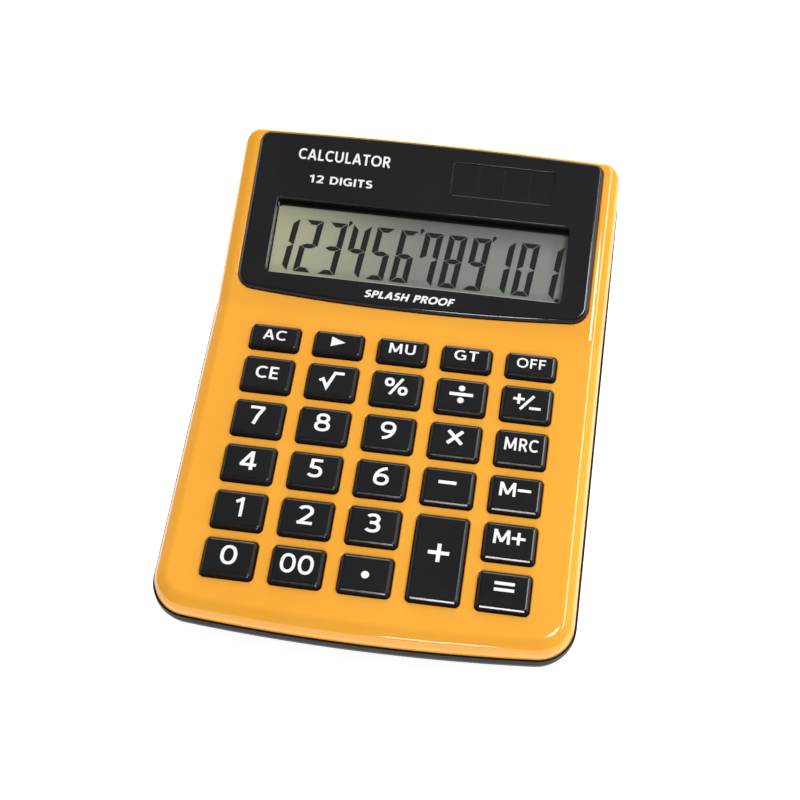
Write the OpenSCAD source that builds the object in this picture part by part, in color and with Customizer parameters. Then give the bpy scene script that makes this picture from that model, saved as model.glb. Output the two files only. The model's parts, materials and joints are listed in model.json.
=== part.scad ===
// Desk and pocket calculator with a sealed keypad, a tilted display and a screwed case.
// +X is to the right, +Y runs from the user to the display, +Z is up.
// The origin is on the desk, under the middle of the case.

/* [Case] */
// Width of the rear case, the widest piece
case_w = 106; // [106:0.5:110]
// Length of the rear case, front to back
case_l = 144.6; // [144:0.2:147]
// Height of the keypad face above the desk
face_z = 15; // [15:0.1:16]
// Height of the seam between the rear and the front case
seam_z = 9.7; // [9.5:0.1:9.9]
// How far the rear case stands out past the front case
lip = 0.5; // [0.3:0.1:0.8]
// Radius of the two front corners
front_corner = 9.5; // [9:0.5:11]
// Radius of the two back corners
back_corner = 4.5; // [4.5:0.5:6]
// How far the front edge bows out in its middle
front_bow = 2.6; // [1:0.1:3]
// Thickness of the side walls
wall = 2.2; // [2:0.1:2.4]
// Thickness of the keypad face
face_t = 2; // [1.8:0.1:2]

/* [Display section] */
// Length of the tilted section, seen from above
display_l = 53.4; // [52:0.2:53.4]
// Tilt of the display section against the keypad, in degrees
tilt = 12.8; // [10:0.2:14]
// Width of the black bezel
bezel_w = 95; // [94:0.5:95]
// How far the bezel stands proud of the case
bezel_rise = 0.9; // [0.5:0.1:1]
// Width of the display opening
view_w = 80.3; // [76:0.1:81]

/* [Keys] */
// Distance between key columns
pitch_x = 17.1; // [16.8:0.1:17.1]
// Distance between key rows
pitch_y = 13.36; // [13.2:0.02:13.4]
// Width of a key
key_w = 13.1; // [12:0.1:13.1]
// Depth of a key
key_d = 10.4; // [9:0.1:10.4]
// Depth of a key in the short row under the display
short_key_d = 7.4; // [6:0.1:7.4]
// How far a key stands above the face
key_rise = 1.5; // [1.3:0.1:2]
// How far a key can be pressed
travel = 1.1; // [0.8:0.1:1.1]

/* [Hidden] */
$fn = 48;
eps = 0.01;

// each key: name, column, row counted from the front, rows that it spans
KEYS = [
    ["key_0", 0, 0, 1], ["key_00", 1, 0, 1], ["key_point", 2, 0, 1],
    ["key_plus", 3, 0, 2], ["key_equals", 4, 0, 1],
    ["key_1", 0, 1, 1], ["key_2", 1, 1, 1], ["key_3", 2, 1, 1], ["key_memory_plus", 4, 1, 1],
    ["key_4", 0, 2, 1], ["key_5", 1, 2, 1], ["key_6", 2, 2, 1],
    ["key_minus", 3, 2, 1], ["key_memory_minus", 4, 2, 1],
    ["key_7", 0, 3, 1], ["key_8", 1, 3, 1], ["key_9", 2, 3, 1],
    ["key_multiply", 3, 3, 1], ["key_memory_recall", 4, 3, 1],
    ["key_clear_entry", 0, 4, 1], ["key_square_root", 1, 4, 1], ["key_percent", 2, 4, 1],
    ["key_divide", 3, 4, 1], ["key_change_sign", 4, 4, 1],
    ["key_all_clear", 0, 5, 1], ["key_backspace", 1, 5, 1], ["key_mark_up", 2, 5, 1],
    ["key_grand_total", 3, 5, 1], ["key_off", 4, 5, 1]
];

// case
// everything is drawn from a point this far behind the front edge, then centred by placed()
front_reach = 71.5;
front_w = case_w - 2 * lip;
front_y = lip - front_reach;
back_y = case_l - front_reach - lip;
back_bow = 1;
rise = tan(tilt);
fold_y = case_l - front_reach - display_l;
floor_z = 1;
ceiling_z = face_z - face_t;
// the front case's edge: [inset from the side, height below the face], from the seam up
FRONT_EDGE = [[0, face_z - seam_z], [0.15, 3.2], [0.5, 2], [1, 1.25], [1.6, 0.85],
              [2.8, 0.25], [3.5, 0.04], [4.2, 0]];
// the back edges of the case and of the bezel are tighter than their sides, by these shares
back_edge_share = 0.34;
bezel_back_share = 0.35;
// the rear case's edge: [inset from the side, height above the desk], from the floor up
REAR_EDGE = [[5.2, 1], [3.2, 1.7], [1.6, 2.8], [0.3, 4.4], [-lip * 0.7, 6.2], [-lip, seam_z]];
REAR_INSIDE = [[6.4, 3], [4.6, 3.6], [2.9, 4.9], [2, 6.6], [2, seam_z + 1]];
seal_out = 0.7;
seal_in = 1.6;
seal_below = 0.8;
seal_above = 0.4;

// display section, in its own tilted frame: x, distance from the fold, height above its face
shelf_n = -1.9;
ledge_n = -3.6;
bezel_near = 3.2;
bezel_far = display_l - 1.1;
bezel_bow = 2.1;
bezel_near_corner = 4.7;
bezel_far_corner = 2.6;
bezel_gap = 0.2;
BEZEL_EDGE = [[0, -1.7], [0, 0.05], [0.12, 0.45], [0.4, 0.72], [0.85, 0.86], [1.5, 0.9]];
view_near = 10;
view_far = 32.2;
solar_left = 6.8;
solar_right = 34.6;
solar_near = 38;
solar_far = 47.8;
well_w = 88.8;
well_near = 7;
well_far = 49.2;
pane_n = [-2.7, -1.7];
// the window's raised pad, which fills the opening over the solar cell
pad_top_n = 0.5;
pad_gap = 0.1;
lcd_n = [-5.5, -2.8];
lcd_near = 8;
lcd_far = 34.4;
holder_n = [-7, -5.6];
holder_x = 46;
HOLDER_S = [14, 32];

// keypad
flange = 0.5;
flange_z = [face_z - 2.9, face_z - 2.1];
key_gap = 0.25;
key_corner = 1.1;
keypad_y = front_y - lip + 11.2;
short_row_gap = 0.25;
// a key cap's side: [inset, height above the face], from the face up
KEY_EDGE = [[0, 0], [0.36, 1.1], [0.44, 1.32], [0.6, 1.45], [0.85, 1.5]];
key_skirt = 1.3;
board_z = [7.7, 9.3];
BOARD_X = [-45.6, 45.6];
BOARD_Y = [-63, 22];
sheet_t = 0.6;
dome_top = face_z - 3.55;
dome_ceiling = dome_top - 0.5;
// the pills stop just short of the board when a key is fully pressed
pill_clearance = 0.05;
pill_end = board_z[1] + travel + pill_clearance;
pill_r = 1.6;
post_r = 2;

// fasteners
SCREW_XY = [for (y = [-60, 15, 63]) for (x = [-1, 1]) [x * (front_w / 2 - 7.2), y]];
BOARD_XY = concat(
    [for (y = [-37, -3]) for (x = [-43.5, 43.5]) [x, y]],
    [[-40.5, 18.5], [40.5, 18.5]]
);
FOOT_XY = [for (y = [-59, 58]) for (x = [-33, 33]) [x, y]];
boss_r = 3;
boss_foot = 5.05;
boss_top = 22.5;
boss_room = 0.4;
case_pilot_r = 1.2;
case_shank_r = 1.15;
head_r = 2.5;
// each case screw: [underside of the head, top of the head, tip]
case_screw_z = [1.6, 3.2, 11.4];
seal_washer_z = [3.2, 3.6];
small_boss_r = 1.6;
small_pilot_r = 0.85;
small_shank_r = 0.8;
small_head_r = 1.6;
small_hole_r = 1;
foot_r = 4.5;
foot_sunk = 0.6;

// ribs, label recess and thick floor in the rear case
RIB_Y = [-45, -15, 22];
RIB_X = [-20, 20];
rib_w = 1.2;
rib_z = [2.5, 4.6];
LABEL = [-28, -34, 28, -6];
label_sunk = 0.25;
thick_floor_z = [2.5, 4.4];

// battery bay
battery_xy = [-4, 44];
battery_r = 5.8;
battery_z = [2.9, 8.3];
COVER = [-13.5, 34.5, 15.5, 53.5];
cover_z = [1.15, 2.65];
cover_gap = 0.15;
cover_screw_xy = [11, 44];
well_top = 10.2;
cover_boss_top = 7.4;
contact_t = 0.28;

// routes of the four inner leads, one point per corner, rounded off when they are swept
lead_d = 0.9;
SOLAR_LEADS = [for (dx = [0, 2.4]) [[32 + dx, 60, 19.8], [32 + dx, 60.5, 16], [32 + dx, 56, 11],
    [32 + dx, 42, 8.6], [32 + dx, 32, 9], [32 + dx, 25, 9.8], [32 + dx, 19.5, 9.8]]];
BATTERY_LEADS = [
    [[-10.6, 44, 11.05], [-14, 43.5, 11.05], [-24, 40, 10], [-31, 32, 9], [-31, 25, 9.8],
     [-31, 19.5, 9.8]],
    [[-4, 54.1, 10.7], [-8, 56, 10.7], [-22, 50, 10], [-33.4, 38, 9], [-33.4, 25, 9.8],
     [-33.4, 19.5, 9.8]]
];

// ---------------------------------------------------------------- outlines

// n + 1 points on an arc, without some of the first and last ones
function arc(c, r, a0, a1, n, first = 0, last = 0) =
    [for (i = [first:n - last]) let (a = a0 + (a1 - a0) * i / n) c + r * [cos(a), sin(a)]];

// A plan outline, counterclockwise, with bowed ends and round corners, inset by i at the front and
// sides and by ib at the back. The optional fold adds a point on each side at that y.
n_bow = 10;
n_corner = 7;
n_back = 4;
function plan(w, y0, y1, r0, r1, bow0, bow1, i = 0, ib = undef, fold = undef) =
    let (
        jb = ib == undef ? i : ib,
        big0 = (w * w / 4 + bow0 * bow0) / (2 * bow0),
        c0 = [0, y0 + big0],
        x0 = w / 2 - r0,
        k0 = [x0, c0.y - sqrt(pow(big0 - r0, 2) - x0 * x0)],
        a0 = asin(x0 / (big0 - r0)),
        big1 = (w * w / 4 + bow1 * bow1) / (2 * bow1) - jb,
        c1 = [0, y1 - jb - big1],
        r = max(r1 - max(i, jb), 0.6),
        x1 = w / 2 - i - r,
        k1 = [x1, c1.y + sqrt(pow(big1 - r, 2) - x1 * x1)],
        a1 = asin(x1 / (big1 - r))
    )
    concat(
        arc(c0, big0 - i, -90 - a0, -90 + a0, n_bow),
        arc(k0, r0 - i, -90 + a0, 0, n_corner, 1),
        fold == undef ? [] : [[w / 2 - i, fold]],
        arc(k1, r, 0, 90 - a1, n_corner),
        arc(c1, big1, 90 - a1, 90 + a1, n_back, 1),
        arc([-k1.x, k1.y], r, 90 + a1, 180, n_corner, 1),
        fold == undef ? [] : [[-w / 2 + i, fold]],
        arc([-k0.x, k0.y], r0 - i, 180, 270 - a0, n_corner, 0, 1)
    );
// the fold's two points in such an outline
right_fold = n_bow + n_corner + 1;
left_fold = right_fold + 2 * n_corner + n_back + 2;

function case_plan(i = 0, ib = undef, fold = fold_y) =
    plan(front_w, front_y, back_y, front_corner, back_corner, front_bow, back_bow, i, ib, fold);
function bezel_plan(i = 0, ib = undef) =
    plan(bezel_w, bezel_near, bezel_far, bezel_near_corner, bezel_far_corner, bezel_bow, back_bow, i, ib);
function rounded(w, d, r, n = 4) = concat(
    arc([w / 2 - r, r - d / 2], r, -90, 0, n), arc([w / 2 - r, d / 2 - r], r, 0, 90, n),
    arc([r - w / 2, d / 2 - r], r, 90, 180, n), arc([r - w / 2, r - d / 2], r, 180, 270, n));

// ---------------------------------------------------------------- solids

function at_z(points, z) = [for (p = points) [p.x, p.y, z]];
// the height of a roof that is level up to the fold and climbs behind it
function roof(points, z, fold) = [for (p = points) [p.x, p.y, z + max(0, p.y - fold) * rise]];

// A closed skin over rings of points, each ring counterclockwise from above. A folded top is
// closed with two flat faces instead of one.
module skin(rings, folded = false) {
    n = len(rings[0]);
    k = len(rings);
    last = (k - 1) * n;
    sides = [for (j = [0:k - 2]) for (i = [0:n - 1])
        let (a = j * n + i, b = j * n + (i + 1) % n) each [[a, a + n, b + n], [a, b + n, b]]];
    top = folded
        ? [[for (i = [left_fold:-1:right_fold]) last + i],
           concat([for (i = [right_fold:-1:0]) last + i], [for (i = [n - 1:-1:left_fold]) last + i])]
        : [[for (i = [n - 1:-1:0]) last + i]];
    bottom = [[for (i = [0:n - 1]) i]];
    polyhedron([for (r = rings) each r], concat(bottom, sides, top), convexity = 6);
}

module plate(points, z) {
    translate([0, 0, z[0]]) linear_extrude(z[1] - z[0]) polygon(points);
}

module box(x, y, z) {
    translate([x[0], y[0], z[0]]) cube([x[1] - x[0], y[1] - y[0], z[1] - z[0]]);
}

// a plate with round corners, given by its edges
module pad(x, y, z, r) {
    translate([(x[0] + x[1]) / 2, (y[0] + y[1]) / 2, 0])
        plate(rounded(x[1] - x[0], y[1] - y[0], r), z);
}

module rod(xy, r, z) {
    translate([xy.x, xy.y, z[0]]) cylinder(r = r, h = z[1] - z[0]);
}

// puts what follows in the display section's tilted frame
module on_display() {
    translate([0, fold_y, face_z]) rotate([tilt, 0, 0]) children();
}

// a smooth curve through points, and a tube swept along it
function curve(p, steps = 3) = let (last = len(p) - 1) concat(
    [for (i = [0:last - 1]) for (s = [0:steps - 1]) let (
        t = s / steps, a = p[max(i - 1, 0)], b = p[i], c = p[i + 1], d = p[min(i + 2, last)])
        0.5 * (2 * b + (c - a) * t + (2 * a - 5 * b + 4 * c - d) * t * t
               + (3 * b - a - 3 * c + d) * t * t * t)],
    [p[last]]);
function unit(v) = v / norm(v);
module tube(points, d, sides = 8) {
    p = curve(points);
    last = len(p) - 1;
    step = 360 / sides;
    // any direction that no lead runs along
    away = [0.35, 0.1, 1];
    skin([for (i = [0:last]) let (
        along = unit(p[min(i + 1, last)] - p[max(i - 1, 0)]),
        side = unit(cross(along, away)),
        up = cross(side, along))
        [for (k = [sides - 1:-1:0]) p[i] + d / 2 * (cos(k * step) * side + sin(k * step) * up)]]);
}

// ---------------------------------------------------------------- keys

function key_x(k) = (k[1] - 2) * pitch_x;
function key_front(k) = keypad_y + k[2] * pitch_y - (k[2] == 5 ? short_row_gap : 0);
function key_depth(k) = k[2] == 5 ? short_key_d : key_d + (k[3] - 1) * pitch_y;
function key_y(k) = key_front(k) + key_depth(k) / 2;
// the middle of each dome under a key: a tall key has two
function domes(k) = [for (i = [0:k[3] - 1]) [key_x(k), key_y(k) + (i - (k[3] - 1) / 2) * pitch_y]];
DOMES = [for (k = KEYS) each domes(k)];

module key_cap(k) {
    d = key_depth(k);
    scale_up = key_rise / 1.5;
    color([0.06, 0.06, 0.07]) {
        translate([key_x(k), key_y(k), 0]) difference() {
            union() {
                skin(concat([at_z(rounded(key_w, d, key_corner), flange_z[0] + eps)],
                    [for (e = KEY_EDGE) at_z(rounded(key_w - 2 * e[0], d - 2 * e[0],
                        key_corner - e[0] / 2), face_z + e[1] * scale_up)]));
                plate(rounded(key_w + 2 * flange, d + 2 * flange, key_corner + flange), flange_z);
            }
            box([key_skirt - key_w / 2, key_w / 2 - key_skirt], [key_skirt - d / 2, d / 2 - key_skirt],
                [flange_z[0] - 1, face_z - 0.1]);
        }
        for (p = domes(k)) rod(p, post_r, [dome_top, face_z]);
    }
}

module keypad_membrane() {
    color([0.75, 0.77, 0.78]) difference() {
        union() {
            box([-45, 45], [BOARD_Y[0], 15], [board_z[1], board_z[1] + sheet_t]);
            for (p = DOMES) translate([p.x, p.y, board_z[1] + sheet_t / 2])
                cylinder(r1 = 4.4, r2 = 3, h = dome_top - board_z[1] - sheet_t / 2);
        }
        for (p = DOMES) translate([p.x, p.y, board_z[1] - 1])
            cylinder(r1 = 4.6, r2 = 2.4, h = dome_ceiling - board_z[1] + 1);
        for (p = SCREW_XY) rod(p, boss_r + boss_room, [board_z[1] - 1, ceiling_z]);
        for (p = BOARD_XY) rod(p, small_boss_r + 0.3, [board_z[1] - 1, ceiling_z]);
    }
}

module contact_pills() {
    color([0.1, 0.1, 0.1]) for (p = DOMES) rod(p, pill_r, [pill_end, dome_ceiling]);
}

// ---------------------------------------------------------------- case

module front_case() {
    color([0.98, 0.63, 0.13]) difference() {
        union() {
            difference() {
                skin([for (e = FRONT_EDGE) let (p = case_plan(e[0], e[0] * back_edge_share))
                    e[0] == 0 ? at_z(p, seam_z) : roof(p, face_z - e[1], fold_y)], true);
                front_hollow();
            }
            for (p = SCREW_XY) rod(p, boss_r, [boss_foot, p.y > fold_y ? boss_top : ceiling_z + 0.5]);
            for (p = BOARD_XY) rod(p, small_boss_r, [board_z[1], ceiling_z + 0.5]);
            on_display() for (s = HOLDER_S) for (x = [-holder_x, holder_x])
                rod([x, s], small_boss_r, [holder_n[1], ledge_n + 0.5]);
        }
        for (k = KEYS) translate([key_x(k), key_y(k), 0])
            plate(rounded(key_w + 2 * key_gap, key_depth(k) + 2 * key_gap, key_corner + key_gap),
                [ceiling_z - 1, face_z + 1]);
        on_display() {
            plate(bezel_plan(-bezel_gap), [shelf_n, 5]);
            pad([-well_w / 2, well_w / 2], [well_near, well_far], [ledge_n - 4, 0], 2);
            for (s = HOLDER_S) for (x = [-holder_x, holder_x])
                rod([x, s], small_pilot_r, [holder_n[1] - 1, ledge_n + 1]);
        }
        for (p = SCREW_XY) rod(p, case_pilot_r, [boss_foot - 1, case_screw_z[2] + 0.6]);
        for (p = BOARD_XY) rod(p, small_pilot_r, [board_z[1] - 1, ceiling_z - 0.6]);
        seal_groove(0.05);
    }
}

// the room inside the front case: level over the keypad, then parallel to the display face
module front_hollow() {
    ledge_fold = fold_y + (-ledge_n / cos(tilt) - face_t) / rise;
    skin([at_z(case_plan(wall, 2, ledge_fold), seam_z - 1),
          roof(case_plan(wall, 2, ledge_fold), ceiling_z, ledge_fold)], true);
}

module seal_ring(gap, z) {
    translate([0, 0, z[0]]) linear_extrude(z[1] - z[0]) difference() {
        polygon(case_plan(seal_out - gap));
        polygon(case_plan(seal_in + gap));
    }
}

module seal_groove(gap) {
    seal_ring(gap, [seam_z - seal_below - gap, seam_z + seal_above + gap]);
}

module case_seal() {
    color([0.2, 0.2, 0.2]) seal_ring(0, [seam_z - seal_below, seam_z + seal_above]);
}

module rear_case() {
    color([0.08, 0.08, 0.09]) difference() {
        union() {
            difference() {
                skin([for (e = REAR_EDGE) at_z(case_plan(e[0]), e[1])]);
                skin([for (e = REAR_INSIDE) at_z(case_plan(e[0]), e[1])]);
            }
            for (p = SCREW_XY) rod(p, 3.4, [2, boss_foot - 0.05]);
            // thicker floor round the battery cover, the battery's well and the cover screw's boss
            pad([COVER[0] - 2, COVER[2] + 2], [COVER[1] - 2, COVER[3] + 2], thick_floor_z, 3);
            rod(battery_xy, battery_r + 2.4, [4, well_top]);
            rod(cover_screw_xy, 2.6, [4, cover_boss_top]);
            for (y = RIB_Y) box([-38, 38], [y - rib_w / 2, y + rib_w / 2], rib_z);
            for (x = RIB_X) box([x - rib_w / 2, x + rib_w / 2], [-58, RIB_Y[2]], rib_z);
        }
        for (p = SCREW_XY) {
            rod(p, 1.5, [0, 6]);
            rod(p, head_r + 0.3, [0, seal_washer_z[1]]);
        }
        for (p = FOOT_XY) rod(p, foot_r + 0.1, [0, floor_z + foot_sunk]);
        pad([COVER[0] - cover_gap, COVER[2] + cover_gap], [COVER[1] - cover_gap, COVER[3] + cover_gap],
            [0, cover_z[1] + 0.05], 2.2);
        rod(battery_xy, battery_r + 0.3, [2, well_top - 1]);
        rod(cover_screw_xy, 1, [2, cover_boss_top - 0.6]);
        // slots for the two contacts
        translate([battery_xy.x, battery_xy.y, 0]) {
            box([-7.2, -5], [-2.7, 2.7], [4.4, 11]);
            box([-2.7, 2.7], [0, 9], [8.25, 8.75]);
        }
        // recess for the rating label
        pad([LABEL[0], LABEL[2]], [LABEL[1], LABEL[3]], [0, floor_z + label_sunk], 2);
        seal_groove(0.05);
    }
}

module case_screws() {
    color([0.6, 0.6, 0.62]) for (p = SCREW_XY) {
        rod(p, case_shank_r, [case_screw_z[1] - 0.2, case_screw_z[2]]);
        difference() {
            rod(p, head_r, [case_screw_z[0], case_screw_z[1]]);
            cross_slot(p, case_screw_z[0], 1.2, 0.5);
        }
    }
}

// a crossed driver recess, opening downwards
module cross_slot(xy, z, reach, w) {
    translate([xy.x, xy.y, z - 1]) {
        translate([-reach, -w / 2, 0]) cube([2 * reach, w, 1.8]);
        translate([-w / 2, -reach, 0]) cube([w, 2 * reach, 1.8]);
    }
}

module screw_seals() {
    color([0.15, 0.15, 0.15]) for (p = SCREW_XY) difference() {
        rod(p, head_r, seal_washer_z);
        rod(p, 1.4, [3, 4]);
    }
}

module rubber_feet() {
    color([0.12, 0.12, 0.12]) for (p = FOOT_XY) translate([p.x, p.y, 0]) {
        cylinder(r1 = foot_r - 0.4, r2 = foot_r, h = 0.6);
        translate([0, 0, 0.6]) cylinder(r = foot_r, h = floor_z + foot_sunk - 0.6);
    }
}

// ---------------------------------------------------------------- display

module display_bezel() {
    color([0.05, 0.05, 0.06]) on_display() difference() {
        skin([for (e = BEZEL_EDGE) at_z(bezel_plan(e[0], e[0] * bezel_back_share),
            e[1] < 0 ? e[1] : e[1] * bezel_rise / 0.9)]);
        pad([-view_w / 2, view_w / 2], [view_near, view_far], [-3, 3], 1.2);
        pad([solar_left, solar_right], [solar_near, solar_far], [-3, 3], 0.8);
    }
}

module bezel_gasket() {
    color([0.3, 0.3, 0.3]) on_display() translate([0, 0, shelf_n]) linear_extrude(-1.7 - shelf_n)
        difference() {
            polygon(bezel_plan(0.5));
            translate([0, (well_near + well_far) / 2])
                polygon(rounded(well_w + 0.6, well_far - well_near + 0.6, 2.3));
        }
}

module display_window() {
    color([0.8, 0.85, 0.85]) on_display() {
        pad([0.8 - well_w / 2, well_w / 2 - 0.8], [well_near + 0.8, well_far - 0.6], pane_n, 1.4);
        pad([solar_left + pad_gap, solar_right - pad_gap], [solar_near + pad_gap, solar_far - pad_gap],
            [pane_n[0], pad_top_n], 0.7);
    }
}

module lcd_panel() {
    color([0.62, 0.64, 0.56]) on_display() box([-43, 43], [lcd_near, lcd_far], lcd_n);
}

module lcd_holder() {
    color([0.25, 0.25, 0.27]) on_display() difference() {
        union() {
            pad([-43.5, 43.5], [9.5, 35.6], [holder_n[0], lcd_n[0] - 0.05], 1);
            for (s = HOLDER_S) pad([-holder_x - 2, holder_x + 2], [s - 2.4, s + 2.4],
                [holder_n[0], holder_n[1] - 0.05], 2.2);
            // a rib behind the display's far edge
            box([-40, 40], [lcd_far + 0.2, 35.6], [holder_n[0], lcd_n[0] + 1.2]);
        }
        for (s = HOLDER_S) for (x = [-holder_x, holder_x]) rod([x, s], small_hole_r, [-9, -4]);
        for (x = [-26, 0, 26]) pad([x - 9, x + 9], [14, 30], [-9, -4], 2);
    }
}

// the foil strip from the board up to the display's lower edge
module lcd_ribbon() {
    t = 0.22;
    path = [[16.5, 9.3], [21.5, 9.3], [24.6, 9.9], [27, 11], [28.32, 12.2], [28.02, 13.5]];
    n = len(path);
    normal = function (i) let (v = unit(path[min(i + 1, n - 1)] - path[max(i - 1, 0)])) [-v.y, v.x];
    color([0.75, 0.5, 0.2]) rotate([90, 0, 90]) translate([0, 0, -28]) linear_extrude(56)
        polygon(concat(path, [for (i = [n - 1:-1:0]) path[i] + t * normal(i)]));
}

module solar_cell() {
    color([0.1, 0.06, 0.12]) on_display()
        box([solar_left - 2, solar_right + 2], [solar_near - 1.4, solar_far + 0.6], [-3.9, -2.8]);
}

module solar_leads() {
    color([0.7, 0.1, 0.1]) for (p = SOLAR_LEADS) tube(p, lead_d);
}

// ---------------------------------------------------------------- board

module circuit_board() {
    color([0.1, 0.4, 0.2]) difference() {
        box(BOARD_X, BOARD_Y, board_z);
        for (p = SCREW_XY) rod(p, boss_r + boss_room, [5, 11]);
        for (p = BOARD_XY) rod(p, small_hole_r, [5, 11]);
    }
}

// a blob of epoxy over the bare chip
module controller_chip() {
    color([0.05, 0.05, 0.05]) translate([0, -2, board_z[0]]) rotate_extrude()
        polygon([[0, 0], [0, -1.6], [2.4, -1.5], [4.4, -1], [5.6, -0.3], [5.8, 0]]);
}

module board_components() {
    under = board_z[0];
    color([0.3, 0.3, 0.35]) {
        // capacitor lying on its side, and the clock crystal
        translate([26, 6, under - 2]) rotate([90, 0, 0]) cylinder(r = 2, h = 7);
        translate([12, 10, under - 1]) rotate([0, 90, 0]) cylinder(r = 1, h = 6);
        for (i = [0:4]) box([-30 + 5 * i, -27.5 + 5 * i], [6, 7.4], [under - 0.7, under]);
        for (i = [0:2]) box([10 + 4 * i, 12 + 4 * i], [-8, -6.8], [under - 0.6, under]);
    }
}

module board_screws() {
    color([0.7, 0.7, 0.72]) {
        for (p = BOARD_XY) small_screw(p, board_z[0], ceiling_z - 1);
        on_display() for (s = HOLDER_S) for (x = [-holder_x, holder_x])
            small_screw([x, s], holder_n[0], ledge_n + 0.8);
    }
}

// a small screw driven upwards, its head under the plane at z
module small_screw(xy, z, tip) {
    rod(xy, small_shank_r, [z - 0.5, tip]);
    difference() {
        rod(xy, small_head_r, [z - 0.9, z]);
        cross_slot(xy, z - 1.4, 0.8, 0.35);
    }
}

// ---------------------------------------------------------------- battery bay

module battery() {
    color([0.75, 0.75, 0.77]) {
        rod(battery_xy, battery_r, [battery_z[0], battery_z[1] - 0.4]);
        rod(battery_xy, battery_r - 1, [battery_z[0], battery_z[1]]);
    }
}

module battery_contact_positive() {
    x = battery_xy.x - battery_r;
    color([0.8, 0.7, 0.4]) {
        box([x - contact_t, x], [battery_xy.y - 2.4, battery_xy.y + 2.4], [4.5, 10.6]);
        box([x - 2, x], [battery_xy.y - 1.2, battery_xy.y + 1.2], [10.3, 10.3 + contact_t]);
    }
}

module battery_contact_negative() {
    color([0.8, 0.7, 0.4]) {
        box([battery_xy.x - 2.4, battery_xy.x + 2.4], [battery_xy.y + 0.5, battery_xy.y + 9.6],
            [8.3, 8.3 + contact_t]);
        box([battery_xy.x - 1.2, battery_xy.x + 1.2],
            [battery_xy.y + 9.6 - contact_t, battery_xy.y + 9.6], [8.3, 11.2]);
    }
}

module battery_leads() {
    color([0.1, 0.1, 0.1]) for (p = BATTERY_LEADS) tube(p, lead_d);
}

module battery_cover() {
    color([0.08, 0.08, 0.09]) difference() {
        pad([COVER[0], COVER[2]], [COVER[1], COVER[3]], cover_z, 2);
        cover_ring(0.05, [cover_z[1] - 0.55, 5]);
        rod(cover_screw_xy, 1.15, [0, 4]);
        rod(cover_screw_xy, 2.1, [0, 1.95]);
    }
}

module cover_ring(gap, z) {
    difference() {
        pad([COVER[0] + 1 - gap, COVER[2] - 1 + gap], [COVER[1] + 1 - gap, COVER[3] - 1 + gap], z, 1.4);
        pad([COVER[0] + 2 + gap, COVER[2] - 2 - gap], [COVER[1] + 2 + gap, COVER[3] - 2 - gap],
            [z[0] - 1, z[1] + 1], 1);
    }
}

module battery_cover_seal() {
    color([0.2, 0.2, 0.2]) cover_ring(0, [cover_z[1] - 0.5, cover_z[1] + 0.05]);
}

module battery_cover_screw() {
    color([0.6, 0.6, 0.62]) {
        rod(cover_screw_xy, 0.95, [1.9, 6.2]);
        difference() {
            rod(cover_screw_xy, 1.9, [1.2, 1.95]);
            cross_slot(cover_screw_xy, 0.7, 1, 0.4);
        }
    }
}

// ---------------------------------------------------------------- nodes

// brings the middle of the case over the origin
module placed() {
    translate([0, front_reach - case_l / 2, 0]) children();
}

for (k = KEYS) placed() key_cap(k);
placed() front_case();
placed() rear_case();
placed() case_seal();
placed() case_screws();
placed() screw_seals();
placed() rubber_feet();
placed() display_bezel();
placed() bezel_gasket();
placed() display_window();
placed() lcd_panel();
placed() lcd_holder();
placed() lcd_ribbon();
placed() solar_cell();
placed() solar_leads();
placed() keypad_membrane();
placed() contact_pills();
placed() circuit_board();
placed() controller_chip();
placed() board_components();
placed() board_screws();
placed() battery();
placed() battery_contact_positive();
placed() battery_contact_negative();
placed() battery_leads();
placed() battery_cover();
placed() battery_cover_seal();
placed() battery_cover_screw();
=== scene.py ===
"""Pocket calculator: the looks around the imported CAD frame.

Shapes are drawn in millimetres and turned into objects in metres.
"""

import json
import math

import bmesh
import bpy
from mathutils import Matrix, Vector


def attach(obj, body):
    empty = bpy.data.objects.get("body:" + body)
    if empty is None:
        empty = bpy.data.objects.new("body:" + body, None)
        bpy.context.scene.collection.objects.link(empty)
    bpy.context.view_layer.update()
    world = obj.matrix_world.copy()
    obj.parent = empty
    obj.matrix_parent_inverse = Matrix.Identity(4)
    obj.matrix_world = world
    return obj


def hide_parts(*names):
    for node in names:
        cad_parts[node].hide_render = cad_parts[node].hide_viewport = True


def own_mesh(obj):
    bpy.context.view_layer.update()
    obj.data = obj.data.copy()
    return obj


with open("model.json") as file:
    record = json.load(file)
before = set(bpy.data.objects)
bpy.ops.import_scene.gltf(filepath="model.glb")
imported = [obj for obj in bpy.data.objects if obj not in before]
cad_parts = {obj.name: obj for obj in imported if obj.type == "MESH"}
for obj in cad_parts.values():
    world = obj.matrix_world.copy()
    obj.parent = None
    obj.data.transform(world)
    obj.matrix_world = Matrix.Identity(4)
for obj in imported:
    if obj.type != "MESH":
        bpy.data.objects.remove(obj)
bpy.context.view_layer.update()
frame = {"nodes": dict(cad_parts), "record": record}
MM = 0.001
CASE = "case"

# ---------------------------------------------------------------- sizes, as in the CAD source

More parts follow.
